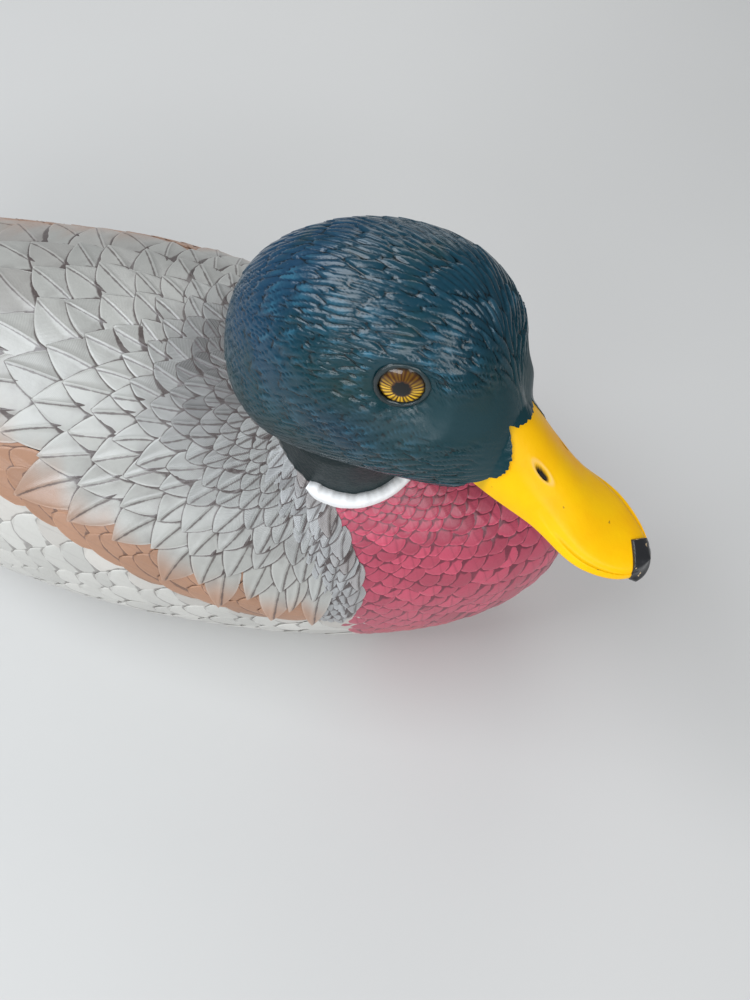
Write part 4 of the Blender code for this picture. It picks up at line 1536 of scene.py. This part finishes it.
def make_bill():
    """Upper bill with its nostrils, closed below by a shallow keel."""
    rows, columns = 150, 150
    s, forward = bill_rings(rows, BILL_TIP - 0.02)
    f = forward[:, None] * np.ones(columns)
    across = np.cos(np.linspace(0, pi, columns))[None, :] * np.ones((rows, 1))
    top = bill_surface(f, across)
    wash = np.zeros((rows, columns))
    scuff = np.zeros((rows, columns))
    for side, beside, size in NOSTRILS:
        along = unit(np.array((side * -0.10, -1.0)))
        rel = top[..., :2] - (side * beside, NOSTRIL_Y)
        slit = np.hypot(rel @ along / 2.1, rel @ np.array((along[1], -along[0])) / 0.72) / size
        top[..., 2] += 0.08 * bell(slit, 1.6, 0.35) - NOSTRIL_DEPTH * smooth((1.15 - slit) / 0.6)
        wash = np.maximum(wash, smooth((1.05 - slit) / 0.35))
        scuff = np.maximum(scuff, 0.6 * bell(slit, 1.35, 0.25))
    half, _, edge = bill_outline(forward[:, None])
    back_turn = np.linspace(0, pi, 24)[1:-1]
    under = np.stack(np.broadcast_arrays(
        -half * np.cos(back_turn), -forward[:, None], edge - np.sin(back_turn) ** 0.6,
    ), -1)
    points, faces = closed_tube(np.concatenate((top, under), 1))
    warm = 0.55 * smooth((0.4 - bill_share(f)) / 0.4) * (1 - np.abs(across)) + 0.35 * smooth(across)
    colour = blend_rows(BILL_YELLOW, BILL_ORANGE, np.clip(warm, 0, 1))
    colour = blend_rows(colour, SCUFFED, scuff * 0.6)
    colour = blend_rows(colour, ROOT_SHADE, 0.35 * bell(f, BILL_ROOT - 1.0, 1.2))
    colour = blend_rows(colour, BLACK, smooth((f - nail_line(top[..., 0]) + 0.1) / 0.3))
    past_line = under[..., 1] < -nail_line(under[..., 0])
    below = np.where(past_line[..., None], BLACK, BILL_YELLOW * 0.9)
    colour = np.concatenate((colour, below), 1).reshape(-1, 3)
    wash = np.concatenate((wash, np.zeros(under.shape[:2])), 1).ravel()
    build("bill_top", to_world(points), faces, PAINTS["bill"], {
        "paint": np.concatenate((colour, np.tile(BILL_YELLOW, (2, 1)))),
        "wash": np.concatenate((wash, (0, 0))),
    }, tube_patch(s, columns + len(back_turn), 0.02, 0.98)[:, ::-1])


def make_lower_bill():
    """Lower bill, set in under the upper one's edge."""
    rows, columns = 60, 60
    s, forward = bill_rings(rows, BILL_TIP - 3.5)
    half, _, edge = bill_outline(forward)
    half = np.maximum(half - 1.7, 0.3) * arch(np.clip((s - 0.9) / 0.1, 0, 1), 2, 0.5).clip(0.05, 1)
    across, up = superpoint(np.linspace(0, 2 * pi, columns, endpoint=False), 2.0, 2.6)
    depth = LOWER_BILL_DEPTH * arch(np.clip((s - 0.75) / 0.25, 0, 1), 2, 0.5).clip(0.2, 1)
    points, faces = closed_tube(np.stack(np.broadcast_arrays(
        half[:, None] * across[None, :], -forward[:, None],
        edge[:, None] - 1.25 + depth[:, None] * np.minimum(up, 0)[None, :],
    ), -1))
    build("bill_bottom", to_world(points), faces, PAINTS["bill"], {
        "paint": np.tile(BILL_SHADE, (len(points), 1)), "wash": np.zeros(len(points)),
    }, tube_patch(s, columns, 0.02, 0.98)[:, ::-1])


def make_nail():
    """Black cap over the bill's tip, hooked over the rim."""
    columns, rows = 72, 26
    x = np.linspace(NAIL_SIDES[0], NAIL_SIDES[1], columns)[:, None]
    back = nail_line(x)
    reach = np.sqrt(1 - (x / BILL_SPOON_HALF) ** 2)
    front = np.maximum(BILL_ROOT + (BILL_TIP - BILL_ROOT) * (0.5 + 0.5 * reach) - 0.04, back + 0.05)
    w = np.linspace(0, 1, rows)[None, :]
    forward = mix(back, front, w)
    half, _, edge = bill_outline(forward)
    top = bill_surface(forward, np.clip(x / half, -0.99, 0.99))
    ends = smooth(np.minimum(x - NAIL_SIDES[0], NAIL_SIDES[1] - x) / 1.2)
    top[..., 0] = x
    swell = 0.45 * smooth(w / 0.16) + 0.35 * np.sin(pi * np.sqrt(w))
    top[..., 2] += swell * (0.3 + 0.7 * ends) - 0.06
    way = np.stack((x[:, 0] / BILL_SPOON_HALF, -reach[:, 0]), -1)
    lip = []
    for out, drop in NAIL_ROLL:
        point = top[:, -1].copy()
        point[:, :2] += way * out * (0.35 + 0.65 * ends)
        point[:, 2] = edge[:, -1] - drop * (0.5 + 0.5 * ends[:, 0])
        lip.append(point)
    under = top[:, ::-3].copy()
    under[..., 2] = np.minimum(under[..., 2] - 1.0, edge[:, -1:] - 0.6)
    points, faces = closed_tube(np.concatenate((top, np.stack(lip, 1), under), 1))
    patch = np.stack((points[:, 0] / 14 + 0.5, (-points[:, 1] - BILL_TIP + 10) / 14), -1)
    build("bill_nail_tip", to_world(points), faces, PAINTS["nail"], {}, patch)


make_bill()
make_lower_bill()
make_nail()


# ---------------------------------------------------------------- eyes

PUPIL_RADIUS = 1.75
LID_RADIUS = 0.62
AMBER_DARK = np.array((0.060, 0.018, 0.003))
AMBER_BRIGHT = np.array((0.85, 0.50, 0.03))
IRIS_RIM = np.array((0.012, 0.006, 0.003))
PUPIL_BLACK = np.array((0.002, 0.002, 0.002))


def amber_iris(points):
    """Amber below, darker above, in streaks round a black pupil; the brighter amber below is painted light
    that the glass dome gathers there.
    """
    radius = np.hypot(points[:, 0], points[:, 1])
    angle = np.arctan2(points[:, 1], points[:, 0])
    streak = smooth((np.sin(angle * 25 + 1.2 * np.sin(angle * 4)) + 0.45) / 0.9)
    # Brighter amber below: painted light, as the glass dome focuses light on the lower iris.
    low = smooth((2.4 - points[:, 1]) / 3.6)
    colour = blend_rows(AMBER_DARK, AMBER_BRIGHT, streak * (0.10 + 0.90 * low) * smooth((radius - 1.9) / 0.6))
    colour = blend_rows(colour, IRIS_RIM, smooth((radius - 3.95) / 0.75))
    pupil = 1 - smooth((radius - PUPIL_RADIUS - 0.12 * np.sin(angle * 9)) / 0.25)
    return blend_rows(colour, PUPIL_BLACK, pupil)


def make_eye(word, eye):
    """Glass eye, and the lid as a rough ring round it."""
    place = np.array(HEAD_FRAME @ eye)

    def put(p):
        return p @ place[:3, :3].T + place[:3, 3]

    around = 96
    t = np.linspace(0.02, 1, 44)
    radii = np.concatenate((EYE_RADIUS * t, [EYE_RADIUS * 0.9, 0.1]))[:, None]
    heights = np.concatenate((EYE_DOME * (1 - t ** 2) ** 0.8 - 0.55, [-1.4, -1.6]))[:, None]
    angle = np.linspace(0, 2 * pi, around, endpoint=False)
    points, faces = closed_tube(np.stack(np.broadcast_arrays(
        radii * np.cos(angle), radii * np.sin(angle), heights,
    ), -1))
    patch = 0.5 + points[:, :2] / 12
    build("eye_iris_" + word, put(points), faces, PAINTS["iris"],
          {"paint": amber_iris(points)}, patch)

    tube, segments = 14, 96
    a = np.linspace(0, 2 * pi, segments, endpoint=False)[:, None]
    b = np.linspace(0, 2 * pi, tube, endpoint=False)[None, :]
    wide = LID_RADIUS + 0.10 * np.sin(a * 3 + 1) + 0.05 * np.sin(a * 13)
    r = EYE_RADIUS + 0.25 + 0.10 * np.sin(a * 2) + wide * np.cos(b)
    z = -0.15 + 0.50 * np.sin(b) + 0.15 * np.sin(a * 2 + 0.5)
    ring = np.stack((r * np.cos(a), r * np.sin(a), z), -1).reshape(-1, 3)
    faces = grid_faces(segments, tube, closed=True).tolist()
    last = (segments - 1) * tube
    faces += [(last + k, last + (k + 1) % tube, (k + 1) % tube, k) for k in range(tube)]
    patch = np.stack(np.broadcast_arrays(a / 6.5 + 0.01, b / 6.5 + 0.01), -1).reshape(-1, 2)
    build("eye_lid_" + word, put(ring), faces, PAINTS["lid"], {}, patch)


for word, eye in EYES.items():
    make_eye(word, eye)


# ---------------------------------------------------------------- collar

NECK_AXIS = NECK_TOP - NECK_FOOT
NECK_TURN = np.array(Vector(NECK_AXIS).to_track_quat("Z", "Y").to_matrix())


def neck_point(share, angle, swell=0.0):
    """Point of the neck at a share of its length and an angle round its axis."""
    share, angle = np.broadcast_arrays(np.asarray(share, float), np.asarray(angle, float))
    slim = mix(1, NECK_TAPER, smooth(share)) + NECK_FLARE * (1 - np.minimum(1, 2 * share)) ** 2
    flat = np.stack((
        (NECK_HALF_WIDTH * slim + swell) * np.cos(angle),
        (NECK_HALF_DEPTH * slim + swell) * np.sin(angle),
        np.zeros(share.shape),
    ), -1)
    return NECK_FOOT + NECK_AXIS * share[..., None] + flat @ NECK_TURN.T


COLLAR_OUT = 1.0
COLLAR_THICK = 0.85
COLLAR_ROOT = -1.5
COLLAR_CLEAR = 0.028
COLLAR_FRONT = radians(196)
COLLAR_START = radians(52)
COLLAR_END = radians(360 - 76)


def make_collar():
    """Thick white paint round the neck, open at the nape."""
    around, across = 420, 15
    bearing = np.linspace(COLLAR_START, COLLAR_END, around)
    away = np.stack((np.sin(bearing), np.cos(bearing), np.zeros(around)), -1) @ NECK_TURN
    a = np.unwrap(np.arctan2(away[:, 1] * NECK_HALF_DEPTH, away[:, 0] * NECK_HALF_WIDTH))
    start, end = min(a[0], a[-1]), max(a[0], a[-1])
    length = np.linalg.norm(NECK_AXIS)
    shares = np.linspace(0.05, 0.8, 300)
    front = smooth(1 - np.abs(bearing - COLLAR_FRONT) / radians(42))
    clear = hull_level(neck_point(shares[:, None], a[None, :], COLLAR_OUT)) > COLLAR_CLEAR - 0.02 * front
    foot = shares[np.argmax(clear, axis=0)]
    foot = moving_mean(np.pad(foot, 12, mode="edge"), 25)
    mid = (foot + COLLAR_BAND / 2 / length)[:, None]
    ends = smooth(np.minimum(a - start, end - a) / radians(9))
    broad = (COLLAR_BAND * 0.62) * (0.82 + 0.2 * np.sin(a * 2 + 0.6)) * np.sqrt(ends.clip(0.02, 1))
    upper = broad * (1 + 0.05 * np.sin(a * 31) + 0.02 * np.sin(a * 73 + 1) + 0.05 * np.sin(a * 17 + 2))
    lower = broad * (1 + 0.05 * np.sin(a * 27 + 2) + 0.03 * np.sin(a * 67) + 0.05 * np.sin(a * 19))
    w = np.linspace(-1, 1, across)
    offset = np.where(w[None, :] > 0, upper[:, None] * w, lower[:, None] * w)
    share = mid + offset / length
    thick = COLLAR_THICK * (1 - np.abs(w[None, :]) ** 3) ** 0.6 * np.sqrt(ends.clip(0.02, 1))[:, None]
    top = neck_point(share, a[:, None], COLLAR_OUT + thick)
    low = neck_point(share, a[:, None], COLLAR_ROOT)
    points, faces = closed_tube(np.concatenate((top, low[:, ::-1]), 1))
    patch = tube_patch(np.linspace(0, 1, around), 2 * across, 0.3, 0.7)
    build("collar_band", points, faces, PAINTS["collar"], {}, patch)


make_collar()


# ---------------------------------------------------------------- skin

FLESH = ("breast", "back", "belly", "rump", "neck", "head", "tail")
SKIN_VOXEL = 1.6
SKIN_DEPTH = 1.2
HEAD_SKIN_DEPTH = 2.6
TAIL_SKIN_DEPTH = 0.9


def node_copy(name):
    """Copy of a solid's node, to be joined into the skin."""
    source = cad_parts[name]
    thing = bpy.data.objects.new("part_" + name, source.data.copy())
    bpy.context.collection.objects.link(thing)
    thing.matrix_world = source.matrix_world
    return thing


def skin_colour(p):
    """The paint under the feathers, like that of the feathers over it."""
    y, z = p[:, 1], p[:, 2]
    rel = p[:, :2] - NECK_FOOT[:2]
    bearing = np.degrees(np.arctan2(np.abs(rel[:, 0]), rel[:, 1]))
    colour = np.tile(CREAM_GREY, (len(p), 1))
    near = np.hypot(rel[:, 0], rel[:, 1])
    # Dark grey near the neck, partly darker paint and partly painted shade under the head.
    colour = blend_rows(colour, DARK_GREY, smooth((48 - near) / 20))
    below = smooth((lip_height(y) - z) / 3)
    colour = blend_rows(colour, FLANK_CREAM, below)
    red = smooth((bearing - red_bearing(near * 1.12) + 1) / 2)
    colour = blend_rows(colour, BURGUNDY, red)
    colour = blend_rows(colour, BLACK, smooth((y - 104) / 5))
    colour = blend_rows(colour, TAIL_WHITE * 0.8, smooth((y - 172) / 6))
    off_hull = smooth((hull_level(p) - 0.030) / 0.012) * smooth((-40 - y) / 10) * smooth((z - 88) / 4)
    return blend_rows(colour, NECK_GREEN, np.maximum(off_hull, smooth((z - 124) / 4)))


def make_skin():
    """One closed surface round the body's solids, sunk a little below the feathers."""
    copies = [node_copy(name) for name in FLESH]
    for thing in bpy.context.selected_objects:
        thing.select_set(False)
    for thing in copies:
        thing.select_set(True)
    skin = copies[0]
    bpy.context.view_layer.objects.active = skin
    bpy.ops.object.join()
    skin.name = skin.data.name = "skin"
    bpy.ops.object.transform_apply(location=True, rotation=True, scale=True)
    remesh = skin.modifiers.new("remesh", "REMESH")
    remesh.mode = "VOXEL"
    remesh.voxel_size = SKIN_VOXEL * MM
    soften = skin.modifiers.new("soften", "SMOOTH")
    soften.factor = 0.5
    soften.iterations = 6
    for name in ("remesh", "soften"):
        bpy.ops.object.modifier_apply(modifier=name)
    mesh = skin.data
    count = len(mesh.vertices)
    points = np.zeros(count * 3)
    normals = np.zeros(count * 3)
    mesh.vertices.foreach_get("co", points)
    mesh.vertices.foreach_get("normal", normals)
    points = points.reshape(-1, 3) / MM
    in_head = smooth((points[:, 2] - 122) / 6) * HEAD_SKIN_DEPTH
    in_tail = smooth((points[:, 1] - 162) / 6) * TAIL_SKIN_DEPTH
    points -= normals.reshape(-1, 3) * (SKIN_DEPTH + settle(points) + in_head + in_tail)[:, None]
    points[points[:, 2] < 1.5, 2] = 0.0
    mesh.vertices.foreach_set("co", (points * MM).ravel())
    colour = skin_colour(points)
    write_attribute(mesh, "paint", colour)
    for key, value in (("tone", 0.5), ("gap", FAR_GAP), ("rim", FAR_GAP)):
        write_attribute(mesh, key, np.full(count, value))
    mesh.materials.clear()
    mesh.materials.append(PAINTS["flank"])
    mesh.materials.append(PAINTS["neck"])
    green = (colour[:, 0] < 0.03) & (points[:, 2] > 88) & (points[:, 1] < 0)
    for face in mesh.polygons:
        face.material_index = int(green[face.vertices[0]])
    mesh.shade_smooth()
    mesh.update()
    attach(skin, "root")
    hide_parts(*FLESH)


make_skin()


# ---------------------------------------------------------------- wings, tail and curls

def speculum_bars(U, V, colour):
    """Blue secondary with a black bar and a white tip."""
    colour = blend_rows(colour, BLACK, smooth((U - 0.80) / 0.03))
    return blend_rows(colour, TAIL_WHITE, smooth((U - 0.91) / 0.02))


def covert_bars(U, V, colour):
    """Brown covert with a white bar and a black tip."""
    colour = blend_rows(colour, TAIL_WHITE, smooth((U - 0.72) / 0.04))
    return blend_rows(colour, BLACK, smooth((U - 0.88) / 0.03))


def brown_edges(U, V, colour):
    """Tertial with a warmer edge."""
    return blend_rows(colour, TAN * 0.8, 0.55 * smooth((np.abs(V) - 0.72) / 0.2))


# Primaries, speculum, coverts and tertials, the lowest first.  y, offset above the lip, base height and
# shade are each a start and a step from feather to feather.
WING_GROUPS = (
    dict(count=6, y=(138, -4.0), offset=(-15, -3.0), base=(0.2, 0.2), colour=WING_BROWN, shade=(0.55, 0),
         length=52, width=8.5, pointed=0.8, marking=None),
    dict(count=7, y=(122, -3.2), offset=(-4.5, -0.5), base=(0.5, 0.13), colour=SPECULUM_BLUE, shade=(1, 0),
         length=28, width=9.5, pointed=0.2, marking=speculum_bars),
    dict(count=5, y=(104, -2.6), offset=(-4.5, -1.0), base=(0.8, 0.1), colour=WING_BROWN, shade=(1.5, 0),
         length=17, width=9.0, pointed=0.2, marking=covert_bars),
    dict(count=5, y=(128, -3.2), offset=(-14, -5.5), base=(1.1, 0.16), colour=WING_BROWN, shade=(1.35, 0.15),
         length=50, width=14.5, pointed=0.85, marking=brown_edges),
)
WING_STEP = 16.0
TAIL_SIDE = 7
TAIL_SPREAD = radians(3.4)
TAIL_LENGTH = 78
TAIL_HALF = 6.0
TAIL_RISE = sin(radians(6))
TAIL_THICK = 1.1
CURL_MIDDLE = (7, 151, 86)
CURL_RADIUS = 11
CURL_SIZE = 1.6


def wing_plumage(side):
    """Primaries, speculum, coverts and tertials along one side of the rump."""
    rows = Plumage()
    n = 0
    for group in WING_GROUPS:
        for k in range(group["count"]):
            moving = [group[key] for key in ("y", "offset", "base", "shade")]
            y, offset, base, shade = (start + step * k for start, step in moving)
            place = lip_walk(y - 8, offset, side)
            ahead = lip_walk(y - 4, offset - 0.35, side)
            rows.add(
                n * 7, (n * 7) % 2, place, unit(ahead - place), step=WING_STEP,
                overlap=group["length"] / WING_STEP, width=group["width"], pointed=group["pointed"],
                paint=group["colour"] * shade, barb=0.7, quill=1.0, warp=0.12, base=base, sunk=0.9,
                marking=group["marking"],
                map=np.array((side * 60 + offset, y)), map_heading=np.array((0.0, 1.0)),
            )
            n += 1
    return rows


for side, word in ((1, "left"), (-1, "right")):
    piece = lay_feathers(
        "wing_feathers_" + word, wing_plumage(side), PAINTS["wing"], u_count=30, v_side=7,
        on_mantle=True, base_lift=0.4,
    )
    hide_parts("wing_" + word)


def make_tail():
    """Fan of tail feathers over the tail's plate, the outer ones first."""
    u_count, v_count = 26, 13
    cells = u_count * v_count
    U, V = np.meshgrid(np.linspace(0, 1, u_count), np.linspace(-1, 1, v_count), indexing="ij")
    side = V * leaf(mix(0.2, 1.0, U), 0.45) * TAIL_HALF
    grid = grid_faces(u_count, v_count)
    ring = rim_places(u_count, v_count)
    after = np.roll(ring, -1)
    wall = np.stack((ring, after, after + cells, ring + cells), -1)
    feather = np.concatenate((grid[:, ::-1], grid + cells, wall))
    faces = []
    rows = {key: [] for key in ("points", "paint", "vane", "rim", "tone", "patch")}
    for n, k in enumerate(sorted(range(-TAIL_SIDE, TAIL_SIDE + 1), key=lambda k: -abs(k))):
        spread = k * TAIL_SPREAD
        length = TAIL_LENGTH - abs(k) ** 1.35
        along = U * length
        x = k * 1.5 + along * sin(spread) + side * cos(spread)
        y = 126 + along * cos(spread) - side * sin(spread)
        z = 67.2 + 0.35 * (TAIL_SIDE - abs(k)) + TAIL_RISE * along
        z = z + 0.8 * (1 - V ** 2) - 0.0022 * x ** 2 + 0.35 * bell(side, 0, 0.45)
        top = np.stack((x, y, z), -1).reshape(-1, 3)
        pale = np.clip(0.30 + np.abs(V.ravel()) * 0.9 + 0.06 * abs(k), 0, 1)
        colour = blend_rows(np.tile(WING_BROWN * 2.2, (cells, 1)), TAIL_WHITE, pale)
        patch = np.stack((V.ravel() * 0.028, (U.ravel() - 0.5) * 0.9), -1)
        rows["points"].append(np.concatenate((top, top - (0, 0, TAIL_THICK))))
        rows["paint"].append(np.tile(colour, (2, 1)))
        vane = np.stack((along, side, np.full(U.shape, 0.8)), -1).reshape(-1, 3)
        rows["vane"].append(np.tile(vane, (2, 1)))
        rows["rim"].append(np.tile(np.minimum((1 - np.abs(V)) * TAIL_HALF, (1 - U) * length).ravel(), 2))
        rows["tone"].append(np.full(2 * cells, chance.random()))
        rows["patch"].append(np.tile(np.array(((k + 7.5) / 15.5, 0.5)) + patch, (2, 1)))
        faces += (feather + n * 2 * cells).tolist()
    rows = {key: np.concatenate(parts) for key, parts in rows.items()}
    points, patch = rows.pop("points"), rows.pop("patch")
    rows.update(gap=rows["rim"] + 0.35, quill=np.ones(len(points)))
    build("tail_feathers", points, faces, PAINTS["flank"], rows, patch)


make_tail()


def make_curl(side, word):
    """Rump feather curled up and forward, as a flat ribbon that narrows to its tip."""
    steps, around = 90, 28
    share = np.linspace(0, 1, steps)
    a = np.linspace(0, 2 * pi, around, endpoint=False)
    rings = []
    for t, s in zip(np.linspace(radians(-70), radians(190), steps), share):
        out = np.array((0, cos(t), sin(t)))
        size = CURL_SIZE * mix(1, 0.35, s ** 1.5)
        centre = np.array(CURL_MIDDLE) * (side, 1, 1) + CURL_RADIUS * out
        ribbon = 0.55 * size * np.outer(np.cos(a), out) + 3.0 * size * np.outer(np.sin(a), (1, 0, 0))
        rings.append(centre + ribbon)
    points, faces = closed_tube(np.array(rings))
    patch = tube_patch(share, around, 0.3, 0.6)
    piece = build("curl_feather_" + word, points, faces, PAINTS["curl"], {}, patch)
    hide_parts("curl_" + word)


make_curl(1, "left")
make_curl(-1, "right")

for piece, nodes in (
    ("bill_top", ["bill_upper"]), ("bill_bottom", ["bill_lower"]), ("bill_nail_tip", ["bill_nail"]),
    ("collar_band", ["collar"]), ("eye_iris_left", ["eye_left"]), ("eye_iris_right", ["eye_right"]),
):
    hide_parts(*nodes)


# ---------------------------------------------------------------- stage, lights and camera

FLOOR_HALF = 20
FLOOR_GAP = 0.0005
LIT_PLACE = (0, -0.05, 0.08)
# Name, place, size, power and colour of each light.
LIGHTS = (
    ("key", (-0.25, 0.75, 1.1), (0.9, 0.6), 13.0, (0.90, 0.95, 1.0)),
    ("fill", (-0.7, -0.8, 0.9), (0.7, 0.7), 7.5, (0.95, 0.98, 1.0)),
    ("side", (-1.15, 0.15, 0.55), (0.9, 0.25), 6.0, (0.92, 0.96, 1.0)),
    ("rim", (0.9, 0.2, 0.7), (0.6, 0.6), 2.5, (1, 1, 1)),
)
WORLD_COLOUR = (0.80, 0.84, 0.88, 1)
WORLD_STRENGTH = 0.30
CAMERA_PLACE = Vector((-115.8, -142.4, 279.1))
CAMERA_YAW = radians(19.7)
CAMERA_PITCH = radians(62.6)
CAMERA_ROLL = radians(0.7)
CAMERA_LENS = 25.3


def make_stage():
    """Pale floor just under the base."""
    floor_mesh = bpy.data.meshes.new("floor")
    corners = [(x * FLOOR_HALF, y * FLOOR_HALF, 0) for x, y in ((-1, -1), (1, -1), (1, 1), (-1, 1))]
    floor_mesh.from_pydata(corners, [], [(0, 1, 2, 3)])
    floor = bpy.data.objects.new("floor", floor_mesh)
    floor.location.z = -FLOOR_GAP
    bpy.context.collection.objects.link(floor)
    paint = Nodes("floor_paint")
    colour = paint.colours(paint.noise(3.0), (0.56, 0.55, 0.535), (0.60, 0.59, 0.575))
    floor_mesh.materials.append(paint.surface(colour, 0.6))


def area_light(name, place, size, power, colour):
    """Soft light that faces the bird."""
    data = bpy.data.lights.new(name, "AREA")
    data.shape = "RECTANGLE"
    data.size, data.size_y = size
    data.energy = power
    data.color = colour
    lamp = bpy.data.objects.new(name, data)
    lamp.location = place
    lamp.rotation_euler = (Vector(LIT_PLACE) - Vector(place)).to_track_quat("-Z", "Y").to_euler()
    bpy.context.collection.objects.link(lamp)


def make_world():
    """Weak bluish light from all round."""
    world = bpy.data.worlds.new("soft_room")
    world.use_nodes = True
    background = world.node_tree.nodes["Background"]
    background.inputs["Color"].default_value = WORLD_COLOUR
    background.inputs["Strength"].default_value = WORLD_STRENGTH
    bpy.context.scene.world = world


def make_camera():
    """Camera in front of the right side, above the head, looking down."""
    yaw, pitch, roll = CAMERA_YAW, CAMERA_PITCH, CAMERA_ROLL
    ahead = Vector((cos(pitch) * cos(yaw), cos(pitch) * sin(yaw), -sin(pitch)))
    right = ahead.cross(Vector((0, 0, 1))).normalized()
    down = ahead.cross(right)
    x_axis = cos(roll) * right + sin(roll) * down
    y_axis = -(-sin(roll) * right + cos(roll) * down)
    turn = Matrix((x_axis, y_axis, -ahead)).transposed().to_4x4()
    turn.translation = CAMERA_PLACE * MM
    data = bpy.data.cameras.new("camera")
    data.sensor_fit = "AUTO"
    data.sensor_width = 36.0
    data.lens = CAMERA_LENS
    data.clip_start = 0.01
    camera = bpy.data.objects.new("camera", data)
    camera.matrix_world = turn
    bpy.context.collection.objects.link(camera)
    bpy.context.scene.camera = camera


make_stage()
for light in LIGHTS:
    area_light(*light)
make_world()
make_camera()
bpy.context.scene.view_settings.view_transform = "Standard"
